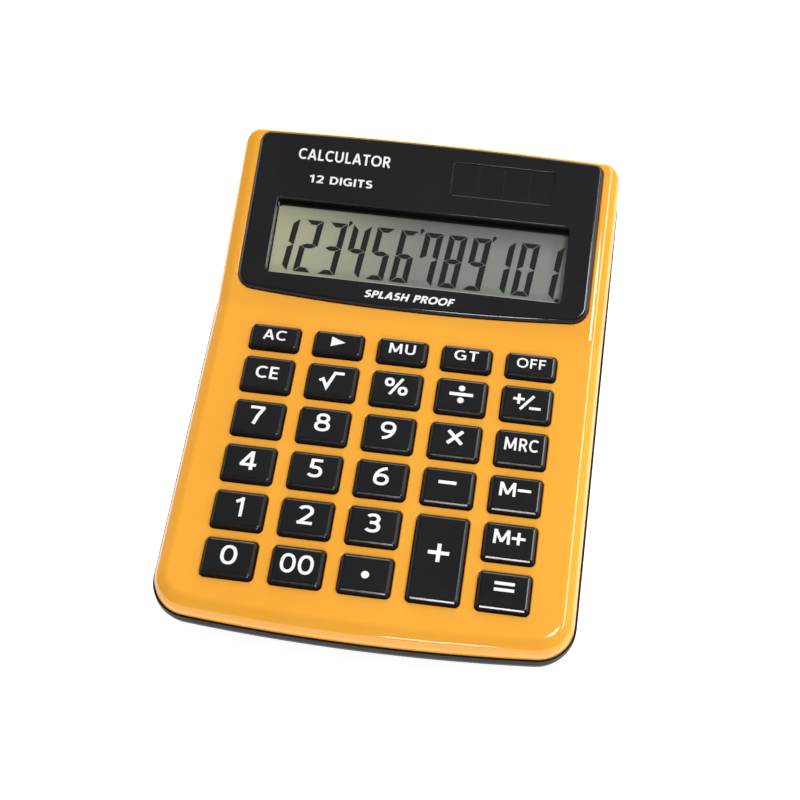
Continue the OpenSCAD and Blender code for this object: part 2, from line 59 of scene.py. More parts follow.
CASE_W, CASE_L, FACE_Z, SEAM_Z, LIP = 106.0, 144.6, 15.0, 9.7, 0.5
FRONT_REACH = 71.5  # shapes are drawn from a point this far behind the front edge
MIDDLE_Y = FRONT_REACH - CASE_L / 2  # and then moved by this, to the frame's origin
FRONT_W, FRONT_Y, BACK_Y = CASE_W - 2 * LIP, LIP - FRONT_REACH, CASE_L - FRONT_REACH - LIP
FRONT_CORNER, BACK_CORNER, FRONT_BOW, BACK_BOW = 9.5, 4.5, 2.6, 1.0
BEZEL_BACK_SHARE = 0.35
WALL, CEILING_Z = 2.2, 13.0
DISPLAY_L = 53.4
FOLD_Y, TILT = CASE_L - FRONT_REACH - DISPLAY_L, math.radians(12.8)
RISE = math.tan(TILT)
FOLD_SOFT = 1.1  # the fold is rounded over this far each way
SHELF_N, LEDGE_N = -1.9, -3.6
BEZEL_W, BEZEL_NEAR, BEZEL_FAR, BEZEL_BOW, BEZEL_GAP = 95.0, 3.2, DISPLAY_L - 1.1, 2.1, 0.2
BEZEL_CORNERS = (4.7, 2.6)
VIEW_W, VIEW_NEAR, VIEW_FAR = 80.3, 10.0, 32.2
SOLAR_X, SOLAR_S = (6.8, 34.6), (38.0, 47.8)
SOLAR_CORNER, BEZEL_TOP = 0.8, 0.9
PANE_X, PANE_S = (-43.6, 43.6), (7.8, 48.6)
PAD_TOP = 0.5  # top of the window's pad in the solar opening
# heights of the digits, of the dark border under the pane (also a painted shadow), and of the pale strip of
# painted highlight
DIGITS_N, BORDER_SHADE_N, RIM_HIGHLIGHT_N = (-2.795, -2.74), (-2.735, -2.705), (-2.795, -2.765)
WELL_W, WELL_NEAR, WELL_FAR = 88.8, 7.0, 49.2
PITCH_X, PITCH_Y, KEY_W, KEY_D, SHORT_KEY_D = 17.1, 13.36, 13.1, 10.4, 7.4
KEYPAD_Y, SHORT_ROW_GAP = FRONT_Y - LIP + 11.2, 0.25
KEY_TOP, KEY_CORNER, KEY_GAP, FLANGE = 16.5, 1.1, 0.25, 0.5
BOARD_TOP, SHEET_T, DOME_TOP, DOME_CEILING = 9.3, 0.6, 11.45, 10.95
POST_R, POST_FOOT, POST_TOP, BACK_POST_TOP = 3.0, 5.05, 13.5, 22.5  # the case screws' posts
BOARD_POST_R = 1.6
CREASE = 0.02  # half the width of the crease inside the front case
SCREW_XY = [(x * (FRONT_W / 2 - 7.2), y) for y in (-60, 15, 63) for x in (-1, 1)]
BOARD_XY = [(-43.5, -37), (43.5, -37), (-43.5, -3), (43.5, -3), (-40.5, 18.5), (40.5, 18.5)]
FOOT_XY = [(x, y) for y in (-59, 58) for x in (-33, 33)]
FLOOR_Z, FLOOR_TOP = 1.0, 2.5  # the rear case's floor
RIB_Y, RIB_X, RIB_TOP = (-45, -15, 22), (-38, 38), 4.6
CELL_XY, CELL_R, CELL_WALL_R = (-4, 44), 6.1, 8.2
COVER = (-13.5, 34.5, 15.5, 53.5)
COVER_SCREW_XY = (11, 44)
COVER_LOW, COVER_HIGH = 1.15, 2.65
LABEL = ((-28, 28), (-34, -6))

# name: column, row from the front, rows spanned
KEYS = {
    "key_0": (0, 0, 1), "key_00": (1, 0, 1), "key_point": (2, 0, 1), "key_plus": (3, 0, 2),
    "key_equals": (4, 0, 1), "key_1": (0, 1, 1), "key_2": (1, 1, 1), "key_3": (2, 1, 1),
    "key_memory_plus": (4, 1, 1), "key_4": (0, 2, 1), "key_5": (1, 2, 1), "key_6": (2, 2, 1),
    "key_minus": (3, 2, 1), "key_memory_minus": (4, 2, 1), "key_7": (0, 3, 1), "key_8": (1, 3, 1),
    "key_9": (2, 3, 1), "key_multiply": (3, 3, 1), "key_memory_recall": (4, 3, 1),
    "key_clear_entry": (0, 4, 1), "key_square_root": (1, 4, 1), "key_percent": (2, 4, 1),
    "key_divide": (3, 4, 1), "key_change_sign": (4, 4, 1), "key_all_clear": (0, 5, 1),
    "key_backspace": (1, 5, 1), "key_mark_up": (2, 5, 1), "key_grand_total": (3, 5, 1),
    "key_off": (4, 5, 1),
}

UP = Vector((0, 0, 1))
TILTED = Matrix.Translation((0, FOLD_Y, FACE_Z)) @ Matrix.Rotation(TILT, 4, "X")
TILTED_UP = TILTED.to_3x3() @ UP

# ---------------------------------------------------------------- outlines and profiles


def arc(c, r, a0, a1, n, first=0):
    turns = [math.radians(a0 + (a1 - a0) * i / n) for i in range(first, n + 1)]
    return [(c[0] + r * math.cos(a), c[1] + r * math.sin(a)) for a in turns]


N_BOW, N_CORNER, N_BACK = 30, 14, 12


def plan(w, y0, y1, corners, bows, i=0.0, ib=None, folds=()):
    """A counterclockwise plan outline with bowed ends, inset by i at the front and sides.

    ib is the inset at the back, and folds adds a point on each side at those y.
    """
    ib = i if ib is None else ib
    r0, bow0, bow1 = corners[0], bows[0], bows[1]
    big0 = (w * w / 4 + bow0 * bow0) / (2 * bow0)
    big1 = (w * w / 4 + bow1 * bow1) / (2 * bow1) - ib
    r = max(corners[1] - max(i, ib), 0.6)
    x0, x1 = w / 2 - r0, w / 2 - i - r
    c0, c1 = (0, y0 + big0), (0, y1 - ib - big1)
    k0 = (x0, c0[1] - math.sqrt((big0 - r0) ** 2 - x0 * x0))
    k1 = (x1, c1[1] + math.sqrt((big1 - r) ** 2 - x1 * x1))
    a0 = math.degrees(math.asin(x0 / (big0 - r0)))
    a1 = math.degrees(math.asin(x1 / (big1 - r)))
    right = [(w / 2 - i, y) for y in folds]
    half = arc(k0, r0 - i, -90 + a0, 0, N_CORNER, 1) + right + arc(k1, r, 0, 90 - a1, N_CORNER)
    front = arc(c0, big0 - i, -90 - a0, -90 + a0, N_BOW)
    back = arc(c1, big1, 90 - a1, 90 + a1, N_BACK)[1:-1]
    return front + half + back + [(-x, y) for x, y in reversed(half)]


def case_plan(i=0.0, ib=None, folds=()):
    corners, bows = (FRONT_CORNER, BACK_CORNER), (FRONT_BOW, BACK_BOW)
    return plan(FRONT_W, FRONT_Y, BACK_Y, corners, bows, i, ib, folds)


def bezel_plan(i=0.0, ib=None):
    return plan(BEZEL_W, BEZEL_NEAR, BEZEL_FAR, BEZEL_CORNERS, (BEZEL_BOW, BACK_BOW), i, ib)


def rounded(w, d, r, centre=(0, 0), n=7):
    r = max(r, 0.05)
    out = []
    for sx, sy, a in ((1, -1, -90), (1, 1, 0), (-1, 1, 90), (-1, -1, 180)):
        out += arc((centre[0] + sx * (w / 2 - r), centre[1] + sy * (d / 2 - r)), r, a, a + 90, n)
    return out


def circle(r, centre=(0, 0), n=40):
    return arc(centre, r, 0, 360 * (n - 1) / n, n - 1)


def fillet(points, radii, n=5):
    """A profile through these points with its inner corners rounded."""
    out = [points[0]]
    for before, p, after, r in zip(points, points[1:], points[2:], radii):
        p, u, v = Vector(p), (Vector(before) - Vector(p)), (Vector(after) - Vector(p))
        half = u.angle(v) / 2
        reach = min(r / math.tan(half), u.length * 0.49, v.length * 0.49)
        a, b = p + u.normalized() * reach, p + v.normalized() * reach
        for k in range(n + 1):
            t = k / n
            out.append(tuple(a * (1 - t) ** 2 + p * 2 * t * (1 - t) + b * t * t))
    return out + [points[-1]]


def roof(points, z, fold=FOLD_Y, soft=FOLD_SOFT):
    """Level up to the fold, and climbing behind it."""
    out = []
    for x, y in points:
        d = y - fold
        up = 0 if d <= -soft else d * RISE if d >= soft else RISE * (d + soft) ** 2 / (4 * soft)
        out.append((x, y, z + up))
    return out


def at_z(points, z):
    return [(x, y, z) for x, y in points]


# ---------------------------------------------------------------- meshes


def loft(rings, strips=()):
    """A closed skin over rings, from the lowest up.

    strips are the (right, left) columns where the top bends.
    """
    n, verts = len(rings[0]), [p for r in rings for p in r]
    faces = []
    for j in range(len(rings) - 1):
        for i in range(n):
            k = (i + 1) % n
            faces.append((j * n + i, j * n + k, (j + 1) * n + k, (j + 1) * n + i))
    faces.append(tuple(reversed(range(n))))
    last = (len(rings) - 1) * n
    if not strips:
        faces.append(tuple(last + i for i in range(n)))
    else:
        r0, l0 = strips[0]
        faces.append(tuple(last + i % n for i in range(l0, n + r0 + 1)))
        for (ra, la), (rb, lb) in zip(strips, strips[1:]):
            faces.append((last + ra, last + rb, last + lb, last + la))
        faces.append(tuple(last + i for i in range(strips[-1][0], strips[-1][1] + 1)))
    return verts, faces


def lathe(profile, centre=(0, 0), n=48):
    """A closed solid of revolution, from (radius, z) pairs that go from the bottom up."""
    return loft([at_z(circle(r, centre, n), z) for r, z in profile])


def prism(points, z0, z1):
    return loft([at_z(points, z0), at_z(points, z1)])


def joined(*parts):
    verts, faces = [], []
    for v, f in parts:
        faces += [tuple(i + len(verts) for i in face) for face in f]
        verts += list(v)
    return verts, faces


def new_mesh(name, solid, place=None):
    verts, faces = solid
    mesh = bpy.data.meshes.new(name)
    mesh.from_pydata([tuple(v) for v in verts], [], faces)
    mesh.transform(Matrix.Scale(MM, 4) @ (place or Matrix.Identity(4)))
    bm = bmesh.new()
    bm.from_mesh(mesh)
    bmesh.ops.remove_doubles(bm, verts=bm.verts, dist=1e-7)
    bmesh.ops.recalc_face_normals(bm, faces=bm.faces)
    bm.to_mesh(mesh)
    bm.free()
    return mesh


def cut(mesh, other, how="DIFFERENCE"):
    """A boolean of two closed meshes, as a new mesh."""
    a, b = bpy.data.objects.new("a", mesh), bpy.data.objects.new("b", other)
    for o in (a, b):
        bpy.context.scene.collection.objects.link(o)
    mod = a.modifiers.new("cut", "BOOLEAN")
    mod.object, mod.operation, mod.solver = b, how, "EXACT"
    bpy.context.view_layer.update()
    out = bpy.data.meshes.new_from_object(a.evaluated_get(bpy.context.evaluated_depsgraph_get()))
    out.name = mesh.name
    for o in (a, b):
        bpy.data.objects.remove(o)
    bpy.data.meshes.remove(mesh)
    return out


def shade(mesh, flats=(), angle=38.0):
    """Smooth normals that leave big flat faces flat.

    A corner beside a face with one of the flat normals takes that normal. At the others, the
    faces around the corner count by their size.
    """
    limit = math.cos(math.radians(angle))
    normals = [p.normal.copy() for p in mesh.polygons]
    areas = [p.area for p in mesh.polygons]
    around = [[] for _ in mesh.vertices]
    for p in mesh.polygons:
        for v in p.vertices:
            around[v].append(p.index)
    split = []
    for p in mesh.polygons:
        n = normals[p.index]
        for v in p.vertices:
            near = [f for f in around[v] if n.dot(normals[f]) > limit]
            held = next((t for t in flats for f in near if t.dot(normals[f]) > 0.99999), None)
            if held is None:
                total = Vector()
                for f in near:
                    total += normals[f] * areas[f]
                held = total.normalized() if total.length > 1e-15 else n
            split.append(tuple(held))
    mesh.polygons.foreach_set("use_smooth", [True] * len(mesh.polygons))
    mesh.normals_split_custom_set(split)
    mesh.update()


def piece(mesh, material, body=CASE, flats=(), nodes=(), angle=38.0):
    """The finished object of a mesh, riding on a body."""
    mesh.materials.clear()
    for m in material if isinstance(material, (list, tuple)) else [material]:
        mesh.materials.append(m)
    shade(mesh, flats, angle)
    mesh.transform(Matrix.Translation((0, MIDDLE_Y * MM, 0)))
    o = bpy.data.objects.new(mesh.name, mesh)
    bpy.context.scene.collection.objects.link(o)
    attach(o, body)
    if nodes:
        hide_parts(*nodes)
    return o


# ---------------------------------------------------------------- materials


def map_range(tree, value, start, end, low, high):
    """A node that takes the stretch from start to end to the one from low to high."""
    m = tree.nodes.new("ShaderNodeMapRange")
    for name, v in (("From Min", start), ("From Max", end), ("To Min", low), ("To Max", high)):
        m.inputs[name].default_value = v
    tree.links.new(value, m.inputs["Value"])
    return m


class Nodes:
    """Short names for making a material's nodes."""

    def __init__(self, name):
        self.material = bpy.data.materials.new(name)
        self.material.use_nodes = True
        self.tree = self.material.node_tree
        self.shader = self.tree.nodes["Principled BSDF"]
        self.place = self.add("ShaderNodeTexCoord").outputs["Object"]

    def add(self, kind, **settings):
        n = self.tree.nodes.new(kind)
        for k, v in settings.items():
            setattr(n, k, v)
        return n

    def link(self, a, b):
        self.tree.links.new(a, b)

    def noise(self, scale, detail=3.0, rough=0.55, stretch=None):
        n = self.add("ShaderNodeTexNoise")
        n.inputs["Scale"].default_value = scale
        n.inputs["Detail"].default_value = detail
        n.inputs["Roughness"].default_value = rough
        where = self.place
        if stretch:
            m = self.add("ShaderNodeMapping")
            m.inputs["Scale"].default_value = stretch
            self.link(where, m.inputs["Vector"])
            where = m.outputs["Vector"]
        self.link(where, n.inputs["Vector"])
        return n.outputs["Fac"]

    def spread(self, value, low, high, start=0.3, end=0.7):
        return map_range(self.tree, value, start, end, low, high).outputs["Result"]

    def blend(self, value, a, b, how="MIX"):
        """Two colours mixed by value, where each of the two is a tone or a node's output."""
        m = self.add("ShaderNodeMix", data_type="RGBA", blend_type=how)
        for name, v in (("Factor", value), ("A", a), ("B", b)):
            if isinstance(v, bpy.types.NodeSocket):
                self.link(v, m.inputs[name])
            else:
                m.inputs[name].default_value = (*v, 1) if isinstance(v, tuple) else v
        return m.outputs["Result"]

    def bump(self, value, strength, distance, before=None):
        b = self.add("ShaderNodeBump")
        b.inputs["Strength"].default_value = strength
        b.inputs["Distance"].default_value = distance
        self.link(value, b.inputs["Height"])
        if before:
            self.link(before, b.inputs["Normal"])
        return b.outputs["Normal"]


def plastic(name, dark, light, rough, grain=None, wave=None, metallic=0.0, specular=0.5,
            patch=60.0, stretch=None):
    """A moulded or rolled surface.

    Its colour drifts between two tones and its roughness varies. grain is a fine relief and wave a
    faint unevenness, each as (scale, depth).
    """
    n = Nodes(name)
    s = n.shader
    n.link(n.blend(n.spread(n.noise(patch, 2.0), 0, 1), dark, light), s.inputs["Base Color"])
    smear = n.noise(patch * 9, 4.0, 0.6, stretch)
    n.link(n.spread(smear, rough[0], rough[1]), s.inputs["Roughness"])
    s.inputs["Metallic"].default_value = metallic
    s.inputs["Specular IOR Level"].default_value = specular
    normal = None
    if wave:
        normal = n.bump(n.noise(wave[0], 1.0), 1.0, wave[1])
    if grain:
        normal = n.bump(n.noise(grain[0], 2.0, 0.6, stretch), 1.0, grain[1], normal)
    if normal:
        n.link(normal, s.inputs["Normal"])
    return n.material


ORANGE = plastic("orange_gloss", (0.93, 0.40, 0.038), (0.95, 0.43, 0.045), (0.05, 0.09),
                 wave=(55, 3e-5), grain=(5200, 8e-7), patch=30)
KEY_BLACK = plastic("key_gloss", (0.0075, 0.0078, 0.0085), (0.011, 0.011, 0.012), (0.12, 0.17),
                    wave=(160, 2.5e-5), grain=(6500, 1e-6), specular=0.4)
KEY_WALL = plastic("key_satin", (0.0075, 0.0078, 0.0085), (0.011, 0.011, 0.012), (0.3, 0.4),
                   grain=(6500, 3e-6), specular=0.08)
BEZEL_BLACK = plastic("bezel_gloss", (0.0085, 0.0085, 0.0095), (0.0115, 0.0115, 0.0125),
                      (0.06, 0.11), wave=(40, 3e-5), grain=(7000, 5e-7))
CASE_BLACK = plastic("case_grain", (0.008, 0.008, 0.009), (0.012, 0.012, 0.013), (0.3, 0.4),
                     grain=(3300, 1.2e-5), patch=45, specular=0.05)
PRINT = plastic("white_print", (0.86, 0.86, 0.86), (0.93, 0.93, 0.92), (0.35, 0.45),
                grain=(9000, 1e-6))
SEGMENT = plastic("lcd_segment", (0.004, 0.005, 0.004), (0.008, 0.009, 0.008), (0.5, 0.6),
                  specular=0.1)
# a pale strip on the display's near edge: a painted highlight of the opening's near rim
RIM_HIGHLIGHT = plastic("lcd_painted_highlight", (0.5, 0.51, 0.42), (0.6, 0.61, 0.52), (0.4, 0.5),
                     grain=(4000, 2e-6))
RUBBER = plastic("rubber", (0.015, 0.015, 0.015), (0.028, 0.027, 0.026), (0.72, 0.85),
                 grain=(2600, 2e-5), specular=0.3)
SILICONE = plastic("silicone", (0.45, 0.47, 0.49), (0.52, 0.54, 0.56), (0.5, 0.6),
                   grain=(2000, 1e-5))
CARBON = plastic("carbon", (0.012, 0.012, 0.012), (0.02, 0.02, 0.02), (0.75, 0.9),
                 grain=(5000, 1e-5))
STEEL = plastic("zinc_steel", (0.42, 0.42, 0.44), (0.55, 0.55, 0.56), (0.24, 0.36), metallic=1.0,
                grain=(5000, 4e-6), patch=200)
CELL = plastic("cell_steel", (0.6, 0.6, 0.61), (0.66, 0.66, 0.67), (0.2, 0.3), metallic=1.0,
               grain=(4000, 2e-6), stretch=(1, 1, 0.05))
BRASS = plastic("contact_plate", (0.72, 0.58, 0.32), (0.8, 0.66, 0.38), (0.22, 0.32),
                metallic=1.0, grain=(4000, 2e-6))
COMPONENT = plastic("component", (0.2, 0.2, 0.22), (0.34, 0.34, 0.35), (0.3, 0.45), metallic=0.6,
                    grain=(3000, 4e-6))
HOLDER = plastic("holder", (0.05, 0.05, 0.055), (0.08, 0.08, 0.085), (0.45, 0.6),
                 grain=(2500, 1e-5))
RIBBON = plastic("ribbon_foil", (0.45, 0.2, 0.04), (0.55, 0.27, 0.06), (0.25, 0.35),
                 grain=(3000, 3e-6), stretch=(4, 0.3, 0.3))
CHIP = plastic("chip_epoxy", (0.01, 0.01, 0.01), (0.016, 0.016, 0.017), (0.1, 0.2),
               wave=(400, 3e-5))
LEAD_RED = plastic("lead_red", (0.42, 0.02, 0.02), (0.5, 0.035, 0.03), (0.4, 0.5),
                   grain=(3000, 5e-6))
LEAD_BLACK = plastic("lead_black", (0.015, 0.015, 0.015), (0.03, 0.03, 0.03), (0.4, 0.5),
                     grain=(3000, 5e-6))
FOAM = plastic("foam_tape", (0.03, 0.03, 0.03), (0.06, 0.06, 0.06), (0.85, 0.95),
               grain=(2200, 6e-5))
LABEL_PAPER = plastic("label_foil", (0.52, 0.53, 0.54), (0.6, 0.6, 0.61), (0.32, 0.42),
                      metallic=0.35, grain=(4200, 3e-6), stretch=(1, 0.12, 1))
FLOOR = plastic("floor", (0.86, 0.87, 0.875), (0.88, 0.885, 0.885), (0.6, 0.7), grain=(900, 4e-6),
                patch=6)


def board_material():
    """Green solder mask with the faint relief of tracks under it."""
    n = Nodes("solder_mask")
    s = n.shader
    tracks = n.add("ShaderNodeTexBrick")
    tracks.inputs["Scale"].default_value = 260
    tracks.inputs["Mortar Size"].default_value = 0.03
    tones = {"Color1": (0.012, 0.14, 0.05), "Color2": (0.016, 0.17, 0.06), "Mortar": (0.03, 0.24, 0.09)}
    for name, tone in tones.items():
        tracks.inputs[name].default_value = (*tone, 1)
    n.link(n.place, tracks.inputs["Vector"])
    n.link(tracks.outputs["Color"], s.inputs["Base Color"])
    n.link(n.spread(n.noise(500), 0.2, 0.32), s.inputs["Roughness"])
    n.link(n.bump(tracks.outputs["Fac"], 0.6, 2e-5), s.inputs["Normal"])
    return n.material


def lcd_material():
    """The grey-green back of the display with its grain, with painted light: lighter and warmer to the left,
    darker to the right, and a painted shadow at the far right.
    """
    n = Nodes("lcd_back")
    s = n.shader
    across = n.add("ShaderNodeSeparateXYZ")
    n.link(n.place, across.inputs["Vector"])
    # painted light: the colour falls from lighter and warmer on the left to darker on the right
    side = n.spread(across.outputs["X"], 0, 1, -0.04, 0.0)
    base = n.blend(side, (0.56, 0.54, 0.36), (0.27, 0.29, 0.26))
    # painted shadow of the opening's far wall: the colour darkens towards the far edge, on the right side
    # only
    far = n.add("ShaderNodeMath", operation="MULTIPLY")
    n.link(side, far.inputs[0])
    n.link(n.spread(across.outputs["Y"], 0, 1, 0.0435, 0.0495), far.inputs[1])
    shadowed = n.blend(far.outputs[0], base, (0.66, 0.65, 0.66), "MULTIPLY")
    grain = n.blend(n.spread(n.noise(2600, 2.0), 0, 1), (0.88, 0.88, 0.88), (1, 1, 1))
    n.link(n.blend(1.0, shadowed, grain, "MULTIPLY"), s.inputs["Base Color"])
    n.link(n.spread(n.noise(900), 0.34, 0.46), s.inputs["Roughness"])
    s.inputs["Specular IOR Level"].default_value = 0.35
    n.link(n.bump(n.noise(3400, 2.0), 0.5, 4e-6), s.inputs["Normal"])
    return n.material


def solar_material():
    """Four amorphous cells side by side, with fine lines between them."""
    n = Nodes("solar_cells")
    s = n.shader
    across = n.add("ShaderNodeSeparateXYZ")
    n.link(n.place, across.inputs["Vector"])
    step = n.add("ShaderNodeMath", operation="PINGPONG")
    n.link(across.outputs["X"], step.inputs[0])
    step.inputs[1].default_value = 0.0035
    line = n.spread(step.outputs[0], 1, 0, 0.00012, 0.0002)
    cells = n.blend(n.spread(n.noise(120), 0, 1), (0.0085, 0.0085, 0.0095), (0.0115, 0.0115, 0.0125))
    n.link(n.blend(line, cells, (0.015, 0.014, 0.015)), s.inputs["Base Color"])
    n.link(n.spread(n.noise(700), 0.07, 0.12), s.inputs["Roughness"])
    return n.material


def pane_material():
    """Clear acrylic, which mirrors more the flatter it is looked at."""
    n = Nodes("clear_pane")
    clear = n.add("ShaderNodeBsdfTransparent")
    clear.inputs["Color"].default_value = (0.985, 0.99, 0.985, 1)
    glossy = n.add("ShaderNodeBsdfGlossy")
    n.link(n.spread(n.noise(400), 0.02, 0.06), glossy.inputs["Roughness"])
    facing = n.add("ShaderNodeLayerWeight")
    facing.inputs["Blend"].default_value = 0.5
    steep = n.add("ShaderNodeMath", operation="POWER")
    n.link(facing.outputs["Facing"], steep.inputs[0])
    steep.inputs[1].default_value = 5.0
    mix = n.add("ShaderNodeMixShader")
    n.link(n.spread(steep.outputs[0], 0.04, 1, 0, 1), mix.inputs["Fac"])
    n.link(clear.outputs[0], mix.inputs[1])
    n.link(glossy.outputs[0], mix.inputs[2])
    n.link(mix.outputs[0], n.tree.nodes["Material Output"].inputs["Surface"])
    n.tree.nodes.remove(n.shader)
    return n.material


BOARD, LCD, SOLAR, PANE = board_material(), lcd_material(), solar_material(), pane_material()
BY_SLOT = {
    "case_orange": ORANGE, "case_black": CASE_BLACK, "key_black": KEY_BLACK, "bezel_black": BEZEL_BLACK,
    "window_clear": PANE, "lcd_glass": LCD, "solar_dark": SOLAR, "holder_plastic": HOLDER,
    "ribbon_foil": RIBBON, "silicone": SILICONE, "carbon": CARBON, "board_green": BOARD,
    "chip_epoxy": CHIP, "component_metal": COMPONENT, "screw_steel": STEEL, "cell_steel": CELL,
    "contact_brass": BRASS, "lead_red": LEAD_RED, "lead_black": LEAD_BLACK, "seal_rubber": RUBBER,
    "foot_rubber": RUBBER, "adhesive_foam": FOAM,
}
for row in frame["record"]["subparts"]:
    node = frame["nodes"][row["node"]]
    node.data.materials.clear()
    node.data.materials.append(BY_SLOT[row["material_slot"]])

# ---------------------------------------------------------------- front case


def hole(outline, z_end, z_mouth, flare=0.3, over=1.5):
    """A cutter whose mouth is rounded over by flare, where outline(grow) is the opening's outline.

    The mouth may be above or below the end.
    """
    way = 1 if z_mouth > z_end else -1
    steps = [(0, z_end), (0, z_mouth - way * flare)]
    for k in range(1, 6):
        a = math.radians(90 * k / 5)
        steps.append((flare * (1 - math.cos(a)), z_mouth - way * flare * (1 - math.sin(a))))
    steps.append((flare, z_mouth + way * over))
    rings = [at_z(outline(g), z) for g, z in steps]
    return loft(rings if way > 0 else rings[::-1])


def key_box(name):
    column, row, rows = KEYS[name]
    depth = SHORT_KEY_D if row == 5 else KEY_D + (rows - 1) * PITCH_Y
    front = KEYPAD_Y + row * PITCH_Y - (SHORT_ROW_GAP if row == 5 else 0)
    return (column - 2) * PITCH_X, front + depth / 2, depth


def key_outline(name, grow):
    x, y, d = key_box(name)
    return rounded(KEY_W + 2 * grow, d + 2 * grow, max(KEY_CORNER + grow, 0.25), (x, y))


def box_outline(xs, ys, r, grow=0.0):
    middle = ((xs[0] + xs[1]) / 2, (ys[0] + ys[1]) / 2)
    return rounded(xs[1] - xs[0] + 2 * grow, ys[1] - ys[0] + 2 * grow, r + grow, middle)


# the front case's edge as (inset, fall below the face): along the sides, and at the back
FRONT_EDGE = fillet([(0, FACE_Z - SEAM_Z), (0.18, 3.0), (0.95, 1.3), (3.25, 0), (5.6, 0)],
                    [1.5, 1.3, 3.6], 7)
BACK_EDGE = [(0, FACE_Z - SEAM_Z), (0.05, 3.0), (0.2, 1.3), (0.42, 0.7), (1.36, 0)]


def back_inset(drop):
    """How far the back edge is drawn in where the sides' edge has fallen by this much."""
    for (i0, d0), (i1, d1) in zip(BACK_EDGE, BACK_EDGE[1:]):
        if drop >= d1:
            return i0 + (i1 - i0) * (d0 - drop) / (d0 - d1)
    return BACK_EDGE[-1][0]


FOLDS = [FOLD_Y + FOLD_SOFT * k for k in (-1, -0.5, 0, 0.5, 1)]


def fold_columns(count):
    """The (right, left) columns of a case outline that hold its fold points."""
    before = N_BOW + 1
    half = 2 * N_CORNER + count + 1
    right = [before + N_CORNER + k for k in range(count)]
    return [(r, before + half + N_BACK - 1 + (half - 1 - (r - before))) for r in right]


def front_shell():
    rings = []
    for k, (inset, drop) in enumerate(FRONT_EDGE):
        p = case_plan(inset, back_inset(drop) + 0.03 * inset, FOLDS)
        rings.append(at_z(p, SEAM_Z) if k == 0 else roof(p, FACE_Z - drop))
    mesh = new_mesh("front_shell", loft(rings, fold_columns(len(FOLDS))))
    ledge_fold = FOLD_Y + (-LEDGE_N / math.cos(TILT) - (FACE_Z - CEILING_Z)) / RISE
    p = case_plan(WALL, 2, [ledge_fold - CREASE, ledge_fold + CREASE])
    inner = [at_z(p, SEAM_Z - 1), roof(p, CEILING_Z, ledge_fold, CREASE)]
    mesh = cut(mesh, new_mesh("hollow", loft(inner, fold_columns(2))))
    posts = [prism(circle(POST_R, (x, y), 24), POST_FOOT, BACK_POST_TOP if y > FOLD_Y else POST_TOP)
             for x, y in SCREW_XY]
    posts += [prism(circle(BOARD_POST_R, p, 20), BOARD_TOP, POST_TOP) for p in BOARD_XY]
    mesh = cut(mesh, new_mesh("posts", joined(*posts)), "UNION")
    openings = [hole(lambda g, k=k: key_outline(k, KEY_GAP + g), CEILING_Z - 1, FACE_Z, 0.35)
                for k in KEYS]
    openings += [prism(circle(1.2, p, 20), POST_FOOT - 1, 12) for p in SCREW_XY]
    openings += [prism(circle(0.85, p, 16), BOARD_TOP - 1, 12.4) for p in BOARD_XY]
    mesh = cut(mesh, new_mesh("openings", joined(*openings)))
    pocket = hole(lambda g: bezel_plan(-BEZEL_GAP - g), SHELF_N, 0, 0.3, 5)
    mesh = cut(mesh, new_mesh("pocket", pocket, TILTED))
    well = prism(box_outline((-WELL_W / 2, WELL_W / 2), (WELL_NEAR, WELL_FAR), 2), LEDGE_N - 4, 0)
    return cut(mesh, new_mesh("well", well, TILTED))


piece(front_shell(), ORANGE, flats=(UP, TILTED_UP), nodes=["front_case"])

# ---------------------------------------------------------------- rear case

REAR_EDGE = fillet([(9, FLOOR_Z), (4.7, FLOOR_Z), (0.5, 3.6), (-LIP, 7.2), (-LIP, SEAM_Z), (-0.2, SEAM_Z)],
                   [3.5, 3.0, 3.0, 0.22], 6)
REAR_INSIDE = [(6.4, 3), (4.6, 3.6), (2.9, 4.9), (2, 6.6), (2, SEAM_Z + 1)]


def rear_shell():
    mesh = new_mesh("rear_shell", loft([at_z(case_plan(i), z) for i, z in REAR_EDGE]))
    mesh = cut(mesh, new_mesh("inside", loft([at_z(case_plan(i), z) for i, z in REAR_INSIDE])))
    x0, y0, x1, y1 = COVER
    inner = [prism(circle(3.4, p, 24), 2, 5) for p in SCREW_XY]
    inner += [prism(box_outline(RIB_X, (y - 0.6, y + 0.6), 0.1), FLOOR_TOP, RIB_TOP) for y in RIB_Y]
    mesh = cut(mesh, new_mesh("ribs", joined(*inner)), "UNION")
    bay = prism(box_outline((x0 - 2, x1 + 2), (y0 - 2, y1 + 2), 3), FLOOR_TOP, 4.4)
    mesh = cut(mesh, new_mesh("bay", bay), "UNION")
    cell_wall = prism(circle(CELL_WALL_R, CELL_XY, 40), 4, 10.2)
    cover_boss = prism(circle(2.6, COVER_SCREW_XY, 24), 4, 7.4)
    mesh = cut(mesh, new_mesh("walls", joined(cell_wall, cover_boss)), "UNION")
    low = [hole(lambda g, p=p: circle(2.8 + g, p, 32), 3.6, FLOOR_Z, 0.3) for p in SCREW_XY]
    low += [hole(lambda g, p=p: circle(4.6 + g, p, 48), 1.6, FLOOR_Z, 0.12) for p in FOOT_XY]
    low.append(hole(lambda g: box_outline((x0, x1), (y0, y1), 2.2, 0.15 + g), 2.7, FLOOR_Z, 0.2))
    low.append(hole(lambda g: box_outline(*LABEL, 2, g), 1.25, FLOOR_Z, 0.1))
    mesh = cut(mesh, new_mesh("low", joined(*low)))
    deep = [prism(circle(1.5, p, 20), 3, 6) for p in SCREW_XY]
    deep += [prism(circle(CELL_R, CELL_XY, 40), 2, 9.2), prism(circle(1, COVER_SCREW_XY, 16), 2, 6.8)]
    return cut(mesh, new_mesh("deep", joined(*deep)))


piece(rear_shell(), CASE_BLACK, flats=(UP, -UP), nodes=["rear_case"])

# ---------------------------------------------------------------- display

BEZEL_EDGE = fillet([(0, -1.7), (0, 0.15), (0.75, BEZEL_TOP), (3.2, BEZEL_TOP)], [0.5, 1.1], 8)


